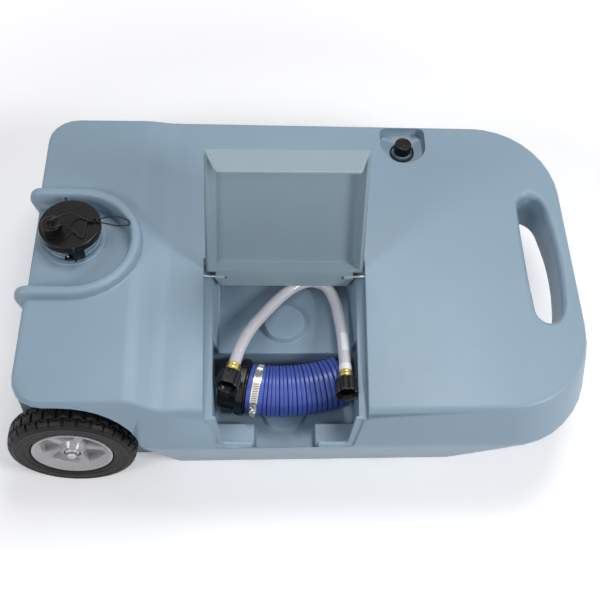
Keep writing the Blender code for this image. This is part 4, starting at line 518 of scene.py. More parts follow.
def floor_sheet():
    """A square of floor at Z = 0, a pale sheet that takes the shadow.

    Its own glow, which only the camera, mirrors and glass see, grows in a straight line
    with the distance from the middle.
    """
    mesh = bpy.data.meshes.new("floor")
    h = FLOOR_HALF
    mesh.from_pydata([(-h, -h, 0), (h, -h, 0), (h, h, 0), (-h, h, 0)], [], [(0, 1, 2, 3)])
    floor = bpy.data.objects.new("floor", mesh)
    scene.collection.objects.link(floor)
    stuff = bpy.data.materials.new("floor_paper")
    stuff.use_nodes = True
    nodes, links = stuff.node_tree.nodes, stuff.node_tree.links
    shader = nodes["Principled BSDF"]
    shader.inputs["Base Color"].default_value = FLOOR_COLOUR
    shader.inputs["Roughness"].default_value = 0.9
    shader.inputs["Specular IOR Level"].default_value = 0.1
    seen = white_seen_by(stuff.node_tree)
    place = nodes.new("ShaderNodeTexCoord")
    away = nodes.new("ShaderNodeVectorMath")
    away.operation = "LENGTH"
    links.new(place.outputs["Object"], away.inputs[0])
    whiter = nodes.new("ShaderNodeMapRange")
    whiter.inputs["From Min"].default_value = GLOW_REACH[0]
    whiter.inputs["From Max"].default_value = GLOW_REACH[1]
    whiter.inputs["To Min"].default_value = GLOW_STRENGTH[0]
    whiter.inputs["To Max"].default_value = GLOW_STRENGTH[1]
    links.new(away.outputs["Value"], whiter.inputs["Value"])
    glow = nodes.new("ShaderNodeEmission")
    links.new(whiter.outputs["Result"], glow.inputs["Strength"])
    add = nodes.new("ShaderNodeAddShader")
    mix = nodes.new("ShaderNodeMixShader")
    links.new(shader.outputs[0], add.inputs[0])
    links.new(glow.outputs[0], add.inputs[1])
    links.new(seen, mix.inputs["Fac"])
    links.new(shader.outputs[0], mix.inputs[1])
    links.new(add.outputs[0], mix.inputs[2])
    links.new(mix.outputs[0], nodes["Material Output"].inputs["Surface"])
    floor.data.materials.append(stuff)


floor_sheet()
world = bpy.data.worlds.new("studio")
world.use_nodes = True
scene.world = world
sky = world.node_tree.nodes["Background"]
sky.inputs["Color"].default_value = SKY_COLOUR
sky.inputs["Strength"].default_value = SKY_STRENGTH
shown = world.node_tree.nodes.new("ShaderNodeBackground")
shown.inputs["Color"].default_value = (1, 1, 1, 1)
shown.inputs["Strength"].default_value = 1.0
blend = world.node_tree.nodes.new("ShaderNodeMixShader")
world.node_tree.links.new(white_seen_by(world.node_tree), blend.inputs["Fac"])
world.node_tree.links.new(sky.outputs[0], blend.inputs[1])
world.node_tree.links.new(shown.outputs[0], blend.inputs[2])
world.node_tree.links.new(
    blend.outputs[0], world.node_tree.nodes["World Output"].inputs["Surface"]
)
for name, place, aim, size, power in LAMPS:
    lamp = bpy.data.lights.new(name, "AREA")
    lamp.size = size
    lamp.energy = power
    holder = bpy.data.objects.new(name, lamp)
    scene.collection.objects.link(holder)
    holder.location = place
    towards = Vector(aim) - Vector(place)
    holder.rotation_euler = towards.to_track_quat("-Z", "Y").to_euler()
scene.view_settings.view_transform = "Standard"

# Tank
# Blue-grey polyethylene, rotation moulded in one piece with the guard, compartment,
# wells and handle slot. The mould leaves a fine satin grain and soft edges.

TANK_COLOUR = srgb(137, 160, 177)
MERGE_DISTANCE = 0.05 * MM
FLAT_ANGLE = math.radians(1.0)
CORNER_ROOM = 0.35
CARRIED_ON = 0.6
FOLD_AREA = 0.02 * MM**2
FOLD_LOOK = -0.1
FOLD_REACH = 6 * MM
tank_stuff = finish(
    "tank_polyethylene", TANK_COLOUR, 0.42, 7.0, 0.035, 420.0, 0.16, 0.25, uneven=0.025
)


def weigh_corners(shape, width, angle):
    """Share of the rounding's width that each corner of the shape has room for.

    A corner's room is CORNER_ROOM times the least reach square to it of the edges that
    meet its ends. Left out are corners that carry the same line on, whose reach square to
    it is under CARRIED_ON times their length. A corner under the angle has no share.
    """
    layer = shape.edges.layers.float.new("bevel_weight_edge")
    sharp = {e for e in shape.edges if len(e.link_faces) == 2 and e.calc_face_angle(0) > angle}
    for edge in sharp:
        along = (edge.verts[1].co - edge.verts[0].co).normalized()
        room = width
        for vert in edge.verts:
            for other in vert.link_edges:
                away = other.other_vert(vert).co - vert.co
                across = (away - along * away.dot(along)).length
                carries = other in sharp and across < CARRIED_ON * away.length
                if other is not edge and not carries:
                    room = min(room, CORNER_ROOM * across)
        edge[layer] = room / width


def ease_folds(piece, rounds=7):
    """Takes the rounding away from corners where it folds a face over.

    A folded face is one of the rounded mesh that looks against the solid's nearest face.
    Corners within FOLD_REACH of its middle or its points lose their share, and the rest is
    rounded again.
    """
    mesh = piece.data
    solid = BVHTree.FromPolygons(
        [v.co for v in mesh.vertices], [p.vertices for p in mesh.polygons]
    )
    ends = np.array([[mesh.vertices[i].co for i in e.vertices] for e in mesh.edges])
    start, run = ends[:, 0], ends[:, 1] - ends[:, 0]
    square = np.maximum((run**2).sum(axis=1), 1e-12)
    share = mesh.attributes["bevel_weight_edge"].data
    for _ in range(rounds):
        rounded = piece.evaluated_get(bpy.context.evaluated_depsgraph_get()).to_mesh()
        rounded.calc_loop_triangles()
        folded = []
        for face in rounded.loop_triangles:
            if face.area > FOLD_AREA:
                corners = [rounded.vertices[i].co.copy() for i in face.vertices]
                middle = sum(corners, Vector()) / 3
                if solid.find_nearest(middle)[1].dot(face.normal) < FOLD_LOOK:
                    folded += [middle, *corners]
        if not folded:
            break
        near = np.zeros(len(ends), bool)
        for place in folded:
            away = np.array(place) - start
            along = np.clip((away * run).sum(axis=1) / square, 0, 1)[:, None]
            near |= np.linalg.norm(away - along * run, axis=1) < FOLD_REACH
        for i in np.flatnonzero(near):
            share[int(i)].value = 0.0
        mesh.update()
        piece.update_tag()
        bpy.context.view_layer.update()


def softened(node, stuff, body, width, angle=28.0, segments=3, reshape=None):
    """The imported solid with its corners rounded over, standing in for the node.

    Its doubles are merged, it is reshaped if asked, flat neighbours are joined, and faces
    of more than four points are cut into triangles. Each corner sharper than the angle
    gets a rounding of the width, in mm, or of the room that it has, and the shading
    follows the larger faces.
    """
    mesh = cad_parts[node].data.copy()
    shape = bmesh.new()
    shape.from_mesh(mesh)
    bmesh.ops.remove_doubles(shape, verts=shape.verts, dist=MERGE_DISTANCE)
    if reshape:
        reshape(shape)
    bmesh.ops.dissolve_limit(
        shape, angle_limit=FLAT_ANGLE, verts=shape.verts, edges=shape.edges
    )
    weigh_corners(shape, width * MM, math.radians(angle))
    wide = [face for face in shape.faces if len(face.verts) > 4]
    bmesh.ops.triangulate(shape, faces=wide)
    shape.to_mesh(mesh)
    shape.free()
    mesh.materials.clear()
    mesh.materials.append(stuff)
    mesh.shade_smooth()
    piece = bpy.data.objects.new(f"{node}_moulding", mesh)
    scene.collection.objects.link(piece)
    bevel = piece.modifiers.new("corners", "BEVEL")
    bevel.limit_method = "WEIGHT"
    bevel.width = width * MM
    bevel.segments = segments
    bevel.use_clamp_overlap = False
    ease_folds(piece)
    piece.modifiers.new("shading", "WEIGHTED_NORMAL").keep_sharp = True
    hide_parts(node)
    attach(piece, body)


SLOT_MIDDLE = 400.3 * MM
SLOT_HALF = 130 * MM
SLOT_CUTS = np.linspace(-0.92, 0.92, 15) * SLOT_HALF
CUT_REACH = 40 * MM
CUT_SNAP = 0.02 * MM
SLOT_TAPER = 0.27
SLOT_BOW = 2 * MM
SLOT_LEAN = 6.5 * MM
OUTER_WALL = 20 * MM
GRIP_FOOT, GRIP_TOP = 145 * MM, 235 * MM
FADE_ACROSS = (40 * MM, 50 * MM)
FADE_PAST_END = (12 * MM, 24 * MM)


def bowed_slot(shape):
    """The straight handle slot of the solid, drawn in at its ends and bowed outward.

    The faces round it are cut by planes of even Y. With s the share of the slot's half
    length and c the place across it, a point moves along X by bow * (1 - 2s^2) - taper * c
    * s^2, and on the outer wall by lean * (1 - s^2) more at the underside, so that the grip
    thins downward. This fades out before the rim.
    """
    for y in SLOT_CUTS:
        near = [
            f for f in shape.faces
            if any(v.co.x > SLOT_MIDDLE - CUT_REACH for v in f.verts)
            and min(v.co.y for v in f.verts) < y < max(v.co.y for v in f.verts)
        ]
        edges = {e for f in near for e in f.edges}
        bmesh.ops.bisect_plane(
            shape, geom=list(edges) + near, dist=CUT_SNAP, plane_co=(0, y, 0), plane_no=(0, 1, 0)
        )
    x, y, z = np.array([v.co for v in shape.verts]).T
    share = np.clip(np.abs(y) / SLOT_HALF, 0, 1) ** 2
    across = x - SLOT_MIDDLE
    fade = np.interp(np.abs(across), FADE_ACROSS, (1, 0))
    fade = fade * np.interp(np.abs(y) - SLOT_HALF, FADE_PAST_END, (1, 0))
    low = np.clip((GRIP_TOP - z) / (GRIP_TOP - GRIP_FOOT), 0, 1)
    outer = np.clip(across / OUTER_WALL, 0, 1)
    move = SLOT_BOW * (1 - 2 * share) - SLOT_TAPER * across * share
    move = fade * (move + SLOT_LEAN * (1 - share) * low * outer)
    for vert, x_new in zip(shape.verts, (x + move).tolist()):
        vert.co.x = x_new


softened("tank_shell", tank_stuff, "tank", 2.2, reshape=bowed_slot)

# Compartment bosses
# Two round bosses moulded in the floor of the compartment, in one piece with the tank and
# of its polyethylene. These skins lie 0.25 mm over the many-sided bosses of the solid.

BOSS_FOOT = 36.25
BOSS_TOP = 33.25
BOSS_LIFT = 0.25
BOSS_SIDES = 96
BOSSES = (
    # name, Y, Z of the floor there and rise, in mm
    ("shelf_boss", -95.0, 165.0, 11.0),
    ("trough_boss", -222.0, 97.0, 5.0),
)


def boss_profile(top):
    """Radii and heights of a cone from foot to top, hollow-cornered below, rounded above."""
    slope = (BOSS_FOOT - BOSS_TOP) / top
    return (
        (0.05, -1.0), (37.6, -1.0), (37.6, 0.1), (36.9, 0.3), (36.4, 0.8),
        (BOSS_FOOT - 1.6 * slope, 1.6), (BOSS_TOP + 1.8 * slope, top - 1.8),
        (33.2, top - 1.0), (32.7, top - 0.4), (31.9, top - 0.1), (30.9, top), (0.05, top),
    )


for name, y, floor_z, rise in BOSSES:
    boss_axes = frame_at((BAY_CENTRE, y * MM, floor_z * MM), (0, 0, 1))
    boss_grid = turned_grid(boss_profile(rise + BOSS_LIFT), BOSS_SIDES, boss_axes)
    skin(f"{name}_round", boss_grid, tank_stuff, "tank")

# Lid
# The same polyethylene, its colour painted lighter and greener than the tank's as painted
# light: a shallow pan with a flange that laps over the sloping side. It swings on two
# steel pins in knuckles at its rear tab.

# Painted light: the lid's colour is a lighter, greener copy of the tank's polyethylene.
lid_painted_lighter = finish(
    "lid_polyethylene_painted_lighter", srgb(148, 168, 178), 0.42, 9.0, 0.03, 420.0, 0.14, 0.25, uneven=0.02
)
pin_stuff = finish("plated_steel", (0.50, 0.51, 0.52), 0.38, 50.0, 0.06, 900.0, 0.05, metal=1.0)
softened("lid", lid_painted_lighter, "lid", 1.1, 24.0)
for node in ("hinge_pin_left", "hinge_pin_right"):
    softened(node, pin_stuff, "tank", 0.4)

# Spout
# A polyethylene neck welded on the tank over a rubber seal, with two steel lugs. A black
# nylon bayonet cap hooks under them, and has a hose outlet that the small cap shuts.

neck_stuff = finish("neck_polyethylene", TANK_COLOUR, 0.36, 20.0, 0.04, 420.0, 0.12)
cap_stuff = finish("cap_nylon", srgb(25, 23, 24), 0.22, 24.0, 0.14, 800.0, 0.05, gloss=0.2)
softened("spout_neck", neck_stuff, "tank", 0.6)
softened("bayonet_cap", cap_stuff, "spout_cap", 0.9, 26.0, 4)
softened("cap_seal", washer_stuff, "tank", 0.4)
seal_stuff = finish("seal_rubber", srgb(104, 124, 140), 0.5, 60.0, 0.05, 1200.0, 0.15)
softened("spout_seal", seal_stuff, "tank", 0.4)
for node in ("spout_lug_near", "spout_lug_far"):
    softened(node, pin_stuff, "tank", 0.5)

# Small cap
# A black moulded screw cap on the hose outlet, ribbed for the fingers, with an eye on
# top for its cord and a flat rubber washer inside.

SMALL_CAP_PROFILE = (
    # radius, height from the large cap's top, share of the ribs
    (0.05, 17.3), (12.8, 17.3), (12.8, 1.0), (13.2, 0.3), (15.4, 0.3), (16, 0.9), (16, 2.2),
    (16, 2.9, 1), (16, 18.6, 1), (15.9, 19.3, 0.4), (15.8, 20.4), (15.1, 21.4), (13.6, 22),
    (12.4, 22), (11.6, 21.3), (0.05, 21.3),
)
SMALL_CAP_RIBS = 40
RIB_DEPTH = 0.035
RIB_POINTS = 8
EYE_RISE = 24.5 * MM
EYE_RADIUS = 4.6 * MM
EYE_SECTION = (1.4 * MM, 1.5 * MM)
small_cap_axes = frame_at(
    (SPOUT_X + CORD_EYE[0] * MM, SPOUT_Y + CORD_EYE[1] * MM, CAP_TOP * MM), (0, 0, 1)
)
small_cap_sides = RIB_POINTS * SMALL_CAP_RIBS


def ribs(turn):
    """Ribs of a cap: the cosine of forty times the angle, less its peak, times the depth."""
    return -RIB_DEPTH * (1 - np.cos(SMALL_CAP_RIBS * turn))


def hoop_grid(place, radius, section, up, axis, steps):
    """Rows of points, a section carried round a circle about a place.

    Each row is place + (radius + x) * out + y * axis, where out turns from +X towards up
    and x, y is the section.
    """
    turn = 2 * np.pi * np.arange(steps)[:, None, None] / steps
    out = np.cos(turn) * (1.0, 0.0, 0.0) + np.sin(turn) * np.array(up)
    return place + out * (radius + section[None, :, :1]) + section[None, :, 1:] * np.array(axis)


small_cap = skin(
    "hose_cap_ribbed", turned_grid(SMALL_CAP_PROFILE, small_cap_sides, small_cap_axes, ribs),
    cap_stuff, "outlet_cap",
)
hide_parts("hose_cap")
eye_grid = hoop_grid(
    small_cap_axes[:3, 3] + (0, 0, EYE_RISE), EYE_RADIUS, circle(1.0, 16) * EYE_SECTION,
    (0.0, 0.0, 1.0), (0.0, 1.0, 0.0), 48,
)
skin("hose_cap_eye", eye_grid, cap_stuff, "outlet_cap", loop=True)
softened("hose_cap_washer", washer_stuff, "outlet_cap", 0.2)

# Vent
# A black ribbed screw cap on the moulded vent neck. A rubber loop round the neck is
# joined to it by a short strap, so that the cap stays with the tank.

VENT_X, VENT_Y = 0.1893, 0.240
VENT_PROFILE = (
    # radius, height from the cap's foot, share of the ribs
    (0.05, 11.2), (11.5, 11.2), (11.5, 1), (11.9, 0), (14.4, 0), (15, 0.6), (15, 2),
    (15, 2.6, 1), (15, 16.4, 1), (14.9, 17.1, 0.3), (14.7, 18.4), (14.0, 19.5), (12.8, 20),
    (11.2, 20), (10.2, 19.2), (9.6, 18.2), (4.4, 18.0), (3.8, 18.6), (3.2, 19.2), (0.05, 19.3),
)
VENT_CAP_Z = 220.3 * MM
VENT_RIBS = 32
LOOP_Z = 217.05 * MM
LOOP_RADIUS = 20 * MM
LOOP_THICKNESS = 1.75 * MM
STRAP_STEPS = 16
STRAP_SIDES = 20
STRAP_ARC = (-6, 96)
STRAP_OUT = (15.9, 4.4)
STRAP_HIGH = (218.2, 9.4)
STRAP_SECTION = (3.5 * MM, 0.7 * MM)


def vent_ribs(turn):
    """The ribs of the small cap, set to the number of the vent cap."""
    return ribs(turn * VENT_RIBS / SMALL_CAP_RIBS)


vent_axes = frame_at((VENT_X, VENT_Y, VENT_CAP_Z), (0, 0, 1))
vent_cap = skin(
    "vent_cap_ribbed", turned_grid(VENT_PROFILE, RIB_POINTS * VENT_RIBS, vent_axes, vent_ribs),
    cap_stuff, "vent_cap",
)
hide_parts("vent_cap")
loop_grid = hoop_grid(
    np.array((VENT_X, VENT_Y, LOOP_Z)), LOOP_RADIUS, circle(LOOP_THICKNESS, 16),
    (0.0, 1.0, 0.0), (0.0, 0.0, 1.0), 96,
)
vent_loop = skin(
    "vent_cap_loop_ring", loop_grid, rubber_stuff, "tank", loop=True,
    pattern_and_shade=np.zeros(loop_grid.shape[:2]),
)
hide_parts("vent_cap_loop")

# The strap bends on a quarter of an upright ellipse from the loop up to the cap.
strap_turn = np.radians(np.linspace(*STRAP_ARC, STRAP_STEPS))
strap_path = np.stack((
    VENT_X + (STRAP_OUT[0] + STRAP_OUT[1] * np.cos(strap_turn)) * MM,
    np.full(STRAP_STEPS, VENT_Y),
    (STRAP_HIGH[0] + STRAP_HIGH[1] * np.sin(strap_turn)) * MM,
), axis=-1)
strap_round = circle(1.0, STRAP_SIDES)
strap_edge = np.sign(strap_round) * np.abs(strap_round) ** 0.5 * STRAP_SECTION
skin(
    "vent_strap", tube_grid(strap_path, strap_edge, up=(1, 0.001, 0)), rubber_stuff, "tank",
    pattern_and_shade=np.zeros((STRAP_STEPS, STRAP_SIDES)),
)

# Wheels
# Solid rubber tyres with a block tread on dished, silver-grey plastic rims. They turn on
# nylon bushes on a plated axle, held by a washer and a push-on cap at each end.

AXLE_X, AXLE_Z = -0.3607, 0.1016
HUB_Y = 0.277
TYRE_PROFILE = (
    # radius and place across, up to the middle of the tread
    (64.3, -15), (66, -19.6), (67.5, -20.8), (70, -21.7), (72.5, -21.1), (74, -21.1),
    (75, -21.9), (82, -22), (86.6, -21.9), (88, -22.6), (90, -22.6), (91, -21.5),
    (93.5, -21.0), (97.1, -19.5), (100.2, -14.5), (101.3, -8), (101.6, 0),
)
TYRE_STEPS = 112
TYRE_SIDES = 480
TREAD_BLOCKS = 30
TREAD_DEPTH = 3.0
MIDDLE_ROW_HALF = 5.2
MIDDLE_ROW_WAVE = 5.4
GROOVE_HALF, GROOVE_WALL = 1.0, 0.8
GAP_HALF, GAP_WALL = 0.075, 0.05
TREAD_FOOT, TREAD_FADE = 95, 3.5
# How far the tread's grooves are painted towards near-black, as painted shade.
TREAD_PAINTED_SHADE = 0.8
# The near-black second colour is painted shade in the tread's grooves.
tyre_stuff = finish(
    "tyre_rubber", srgb(23, 22, 23), 0.46, 26.0, 0.16, 1100.0, 0.25, 0.3, gloss=0.22,
    pattern_and_shade_colour=srgb(9, 9, 10),
)
rim_stuff = finish("rim_plastic", srgb(170, 168, 171), 0.24, 18.0, 0.06, 900.0, 0.06, coat=0.6)
nylon_stuff = finish("bush_nylon", srgb(222, 219, 210), 0.45, 30.0, 0.04, 700.0, 0.1)


def tread(turn, across, radius):
    """How deep the tread is, from 0 on a block to 1 in a groove.

    The middle row and the two shoulder rows each have one block in every thirtieth of a
    turn, half a block out of step, with a gap after it. Wavy grooves run between the
    rows: their place across grows with the distance from the middle of the cell. All of
    it fades out down the shoulder.
    """
    cell = (turn * TREAD_BLOCKS / (2 * np.pi)) % 1
    shoulder = np.abs(cell - 0.5)
    middle = 0.5 - shoulder
    side = np.abs(across) - (MIDDLE_ROW_HALF + MIDDLE_ROW_WAVE * 2 * shoulder)
    past_gap = np.where(side < 0, middle, shoulder) - GAP_HALF
    gap = 1 - np.clip(past_gap / GAP_WALL, 0, 1)
    groove = 1 - np.clip((np.abs(side) - GROOVE_HALF) / GROOVE_WALL, 0, 1)
    return np.maximum(gap, groove) * np.clip((radius - TREAD_FOOT) / TREAD_FADE, 0, 1)


# The profile and its mirror image are cut at even lengths, turned about the axle, and
# sunk by the tread. The grooves are painted towards near-black as well, as painted shade.
tyre_line = np.array(TYRE_PROFILE + tuple((r, -y) for r, y in TYRE_PROFILE[-2::-1]))
tyre_gaps = np.linalg.norm(np.diff(tyre_line, axis=0), axis=1)
tyre_reach = np.concatenate(([0], np.cumsum(tyre_gaps)))
tyre_even = np.linspace(0, tyre_reach[-1], TYRE_STEPS)
tyre_radius = np.interp(tyre_even, tyre_reach, tyre_line[:, 0])
tyre_across = np.interp(tyre_even, tyre_reach, tyre_line[:, 1])
tyre_turn = 2 * np.pi * np.arange(TYRE_SIDES)[:, None] / TYRE_SIDES
for label, side in (("near", -1), ("far", 1)):
    sunk = tread(tyre_turn, tyre_across * side, tyre_radius)
    size = (tyre_radius - TREAD_DEPTH * sunk) * MM
    grid = np.stack((
        AXLE_X + size * np.cos(tyre_turn),
        np.broadcast_to(side * HUB_Y + tyre_across * MM, size.shape),
        AXLE_Z + size * np.sin(tyre_turn),
    ), axis=-1)
    body = f"wheel_{label}"
    tyre = skin(
        f"tyre_{label}_tread", grid, tyre_stuff, body, loop=True,
        pattern_and_shade=TREAD_PAINTED_SHADE * sunk, crease=50.0,
    )
    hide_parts(f"tyre_{label}")
    softened(f"wheel_rim_{label}", rim_stuff, body, 0.9, 26.0)
    softened(f"wheel_bush_{label}", nylon_stuff, body, 0.3)
    softened(f"axle_spacer_{label}", nylon_stuff, "tank", 0.4)
    softened(f"axle_washer_{label}", pin_stuff, "tank", 0.3)
    softened(f"axle_cap_{label}", pin_stuff, "tank", 0.5)
softened("axle", pin_stuff, "tank", 0.5)

# Sewer hose
# A blue vinyl hose over a steel wire helix, pushed together into close, uneven ribs that
# bend to the compartment. Its plain end is clamped on the black bayonet adapter.

SEWER_NEAREST = (BAY_CENTRE - 12 * MM, -208 * MM, 143.8 * MM)
SEWER_BENDS = (150 * MM, 300 * MM)
SEWER_ANGLES = (math.radians(11.5), math.radians(20.0))
SEWER_RIBS = 18
SEWER_ROOT = 38.6
SEWER_CROWN = 41.5
SEWER_BORE = 36.0
SEWER_WEIGHTS = (1, 1, 0.5, 0.35, 1, 0.4, 0.9, 0.45, 1, 0.5, 1, 0.5, 1, 0.55, 1, 0.6, 1, 0.5)
SEWER_SIDES = 80
RIB_STEPS = 14
FIRST_RIB = 11 * MM
RIB_SPREAD = 0.25
GROOVE_SHARPNESS = 5
GROOVE_LEAST = 0.25
# Shares of navy painted shade: in the grooves, on the fine lines, at the cut end and in the bore.
GROOVE_PAINTED_SHADE = 1.2
FINE_LINES = 3
FINE_LINE_DEPTH, FINE_LINE_SPAN = 0.14, 0.8
FINE_LINE_PAINTED_SHADE, FINE_SHADE_SPAN = 0.26, 0.7
CUFF_STEPS = (-15, -14.6, -14, -8, 0, 4, 8, 9.4, 10, 10.6)
CUFF_RADII = (39.0, 39.5, 39.6, 39.6, 39.6, 39.6, 39.6, 39.5, 39.2, 38.7)
END_RADIUS, END_PAINTED_SHADE = 38.9, 0.2
BORE_STEPS = 40
BORE_RIPPLES = 30
BORE_PAINTED_SHADE = 0.85


def sewer_line(reach):
    """Places and directions at lengths along the hose from its clamp.

    Left of the nearest point the line is an arc of the first bend, right of it one of
    the second: x = bend * sin(turn), y = bend * (1 - cos(turn)).
    """
    left = SEWER_ANGLES[0] * SEWER_BENDS[0]
    bend = np.where(reach < left, SEWER_BENDS[0], SEWER_BENDS[1])
    turn = np.where(reach < 0, -SEWER_ANGLES[0], (reach - left) / bend)
    x, y = bend * np.sin(turn), bend * (1 - np.cos(turn))
    along = np.stack((np.cos(turn), np.sin(turn), 0 * turn), axis=-1)
    places = np.array(SEWER_NEAREST) + np.stack((x, y, 0 * x), axis=-1)
    return places + along * np.minimum(reach, 0)[:, None], along


# Over a rib the radius falls from crown to root by the fifth power of the distance from
# its middle, and less at ribs of small weight. Fine lines, as a cosine, run over it, and
# the ribs grow longer away from the clamp. The bore comes back inside, rippled. The
# grooves, the fine lines, the cut end and the bore are painted towards navy, as painted
# shade.
sewer_total = SEWER_ANGLES[0] * SEWER_BENDS[0] + SEWER_ANGLES[1] * SEWER_BENDS[1]
rib_part = np.linspace(0, 1, SEWER_RIBS * RIB_STEPS + 1)[1:-1]
rib_share = (rib_part * SEWER_RIBS) % 1
rib_edge = np.abs(2 * rib_share - 1)
rib_index = np.clip((rib_part * SEWER_RIBS + 0.5).astype(int), 0, SEWER_RIBS - 1)
rib_weight = np.array(SEWER_WEIGHTS)[rib_index]
rib_groove = rib_edge**GROOVE_SHARPNESS
rib_high = 1 - rib_groove * (GROOVE_LEAST + (1 - GROOVE_LEAST) * rib_weight)
fine_line = 0.5 + 0.5 * np.cos(2 * np.pi * FINE_LINES * rib_share)
rib_radius = SEWER_ROOT + (SEWER_CROWN - SEWER_ROOT) * rib_high
rib_radius -= FINE_LINE_DEPTH * fine_line * (rib_edge < FINE_LINE_SPAN)
rib_painted_shade = np.clip(rib_groove * GROOVE_PAINTED_SHADE * rib_weight, 0, 1)
rib_painted_shade += FINE_LINE_PAINTED_SHADE * fine_line * (rib_edge < FINE_SHADE_SPAN)
rib_run = (1 - RIB_SPREAD) * rib_part + RIB_SPREAD * rib_part**2
rib_reach = FIRST_RIB + (sewer_total - FIRST_RIB) * rib_run
cuff_reach = np.array(CUFF_STEPS) * MM
bore_reach = np.linspace(sewer_total, cuff_reach[0], BORE_STEPS)
bore_turn = np.linspace(0, 2 * np.pi * BORE_RIPPLES, BORE_STEPS)
bore_radius = SEWER_BORE + 0.5 * (1 - np.cos(bore_turn))
sewer_reach = np.concatenate((cuff_reach, rib_reach, [sewer_total], bore_reach))
sewer_radius = np.concatenate((CUFF_RADII, rib_radius, [END_RADIUS], bore_radius)) * MM
sewer_painted_shade = np.concatenate(
    (np.zeros(len(cuff_reach)), rib_painted_shade, [END_PAINTED_SHADE], np.full(BORE_STEPS, BORE_PAINTED_SHADE))
)
sewer_places, sewer_along = sewer_line(sewer_reach)
sewer_side = unit(np.cross((0.0, 0.0, 1.0), sewer_along))
sewer_ring = circle(1.0, SEWER_SIDES)
sewer_grid = sewer_places[:, None] + sewer_radius[:, None, None] * (
    sewer_ring[None, :, :1] * sewer_side[:, None] + sewer_ring[None, :, 1:] * np.array((0, 0, 1.0))
)
# The navy second colour is painted shade in the grooves, fine lines, cut end and bore.
sewer_stuff = finish(
    "sewer_vinyl", srgb(72, 96, 186), 0.33, 30.0, 0.06, 600.0, 0.06, coat=0.12,
    pattern_and_shade_colour=srgb(10, 14, 54),
)
sewer_hose = skin(
    "sewer_hose_ribs", sewer_grid, sewer_stuff, "tank", loop=True,
    pattern_and_shade=np.broadcast_to(sewer_painted_shade[:, None], sewer_grid.shape[:2]), crease=60.0,
)
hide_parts("sewer_hose")
softened("sewer_adapter", coupling_stuff, "tank", 0.8)
softened("lug_ring", coupling_stuff, "adapter_lugs", 0.6, 40.0)
softened("adapter_seal", washer_stuff, "tank", 0.3)

# Hose clamp
# A worm-drive clamp of plated steel band, slotted all round for the screw, with its
# pressed housing and the hexagonal screw on the near side.

CLAMP_MIDDLE = 1.0
CLAMP_HALF = 6.35
CLAMP_INNER = 39.9
CLAMP_OUTER = 40.9
CLAMP_ANGLE = math.radians(3)
CLAMP_SIDES = 1008
CLAMP_SLOTS = 66
CLAMP_SLOT_SLANT = 0.32
CLAMP_SLOT_HALF = 0.2
CLAMP_SLOT_REACH = 0.62
CLAMP_SLOT_DEPTH = 0.7
HOUSING_LIFT = 3.2
HOUSING_STEPS = (-7, -6.9, -6.4, -5.5, 0, 5.5, 6.4, 6.9, 7)
HOUSING_GROWTH = (0.7, 0.84, 0.95, 1, 1, 1, 0.95, 0.84, 0.7)
HOUSING_SECTION = (5.85 * MM, 4.1 * MM)
HOUSING_SIDES = 48
fitting_place, fitting_along = sewer_line(np.array((0.0,)))
fitting_axes = frame_at(fitting_place[0], -fitting_along[0])

# The band's section runs over its outer face and back under it. A slot is sunk where the
# turn, slanted by the place across, is near the middle of its cell, and painted a dull
# brown there as painted shade.
clamp_flat = np.linspace(-0.84, 0.84, 29)
clamp_high = np.array((-1, -1, -0.97, -0.9, *clamp_flat, 0.9, 0.97, 1, 1, 0.97, -0.97))
clamp_size = np.concatenate((
    (CLAMP_INNER + 0.1, CLAMP_OUTER - 0.25, CLAMP_OUTER - 0.06), np.full(31, CLAMP_OUTER),
    (CLAMP_OUTER - 0.06, CLAMP_OUTER - 0.25, CLAMP_INNER + 0.1, CLAMP_INNER, CLAMP_INNER),
))
clamp_turn = 2 * np.pi * np.arange(CLAMP_SIDES) / CLAMP_SIDES
clamp_high, clamp_size = clamp_high[:, None], clamp_size[:, None]
slot_wave = (clamp_turn * CLAMP_SLOTS / (2 * np.pi) + CLAMP_SLOT_SLANT * clamp_high) % 1
slot_sunk_and_shaded = np.abs(slot_wave - 0.5) < CLAMP_SLOT_HALF
slot_sunk_and_shaded &= (np.abs(clamp_high) < CLAMP_SLOT_REACH) & (clamp_size > CLAMP_OUTER - 0.01)
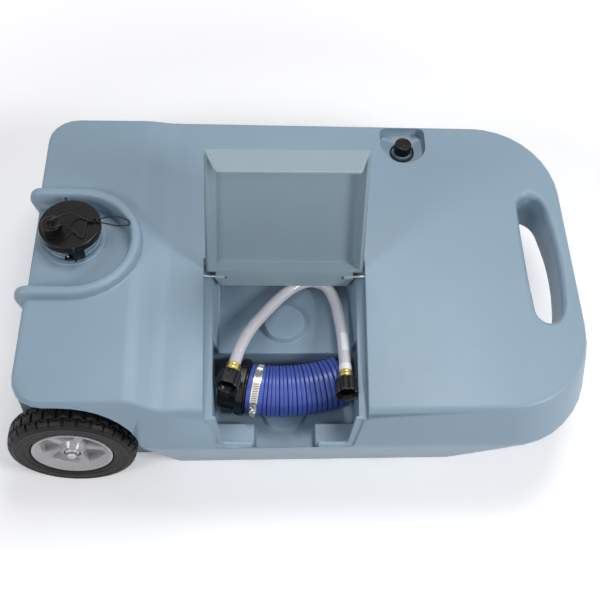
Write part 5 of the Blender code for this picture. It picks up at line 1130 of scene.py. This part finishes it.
slot_sunk_and_shaded = np.where(slot_sunk_and_shaded, 1.0, 0.0)
clamp_radius = (clamp_size - CLAMP_SLOT_DEPTH * slot_sunk_and_shaded) * MM
clamp_local = np.stack((
    clamp_radius * np.cos(clamp_turn), clamp_radius * np.sin(clamp_turn),
    np.broadcast_to((CLAMP_MIDDLE + CLAMP_HALF * clamp_high) * MM, clamp_radius.shape),
    np.ones_like(clamp_radius),
), axis=-1)
# The dull brown second colour is painted shade in the slots.
clamp_stuff = finish(
    "clamp_steel", (0.66, 0.66, 0.66), 0.24, 50.0, 0.08, 900.0, 0.05, metal=1.0,
    pattern_and_shade_colour=(0.40, 0.33, 0.24),
)
clamp_band = skin(
    "hose_clamp_band", (clamp_local @ fitting_axes.T)[..., :3], clamp_stuff, "tank",
    loop=True, pattern_and_shade=slot_sunk_and_shaded, crease=30.0,
)
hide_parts("hose_clamp")

# The housing is a box with rounded corners, as cosine and sine to the power 0.45, that
# draws in towards its two ends.
fitting_side, fitting_up, fitting_back, fitting_foot = fitting_axes[:3].T
housing_out = fitting_side * math.cos(CLAMP_ANGLE) + fitting_up * math.sin(CLAMP_ANGLE)
housing_up = fitting_up * math.cos(CLAMP_ANGLE) - fitting_side * math.sin(CLAMP_ANGLE)
housing_seat = fitting_foot + fitting_back * CLAMP_MIDDLE * MM
housing_seat = housing_seat + housing_out * (CLAMP_OUTER + HOUSING_LIFT) * MM
housing_high = np.array(HOUSING_STEPS)[:, None, None] * MM
housing_growth = np.array(HOUSING_GROWTH)[:, None, None]
housing_round = circle(1.0, HOUSING_SIDES)
housing_edge = np.sign(housing_round) * np.abs(housing_round) ** 0.45 * HOUSING_SECTION
housing_row = housing_edge[None, :, :1] * fitting_back + housing_edge[None, :, 1:] * housing_out
housing_grid = housing_seat + housing_high * housing_up + housing_growth * housing_row
skin(
    "hose_clamp_housing", housing_grid, clamp_stuff, "tank",
    pattern_and_shade=np.zeros(housing_grid.shape[:2]),
)
softened("clamp_screw", pin_stuff, "clamp_screw", 0.5)
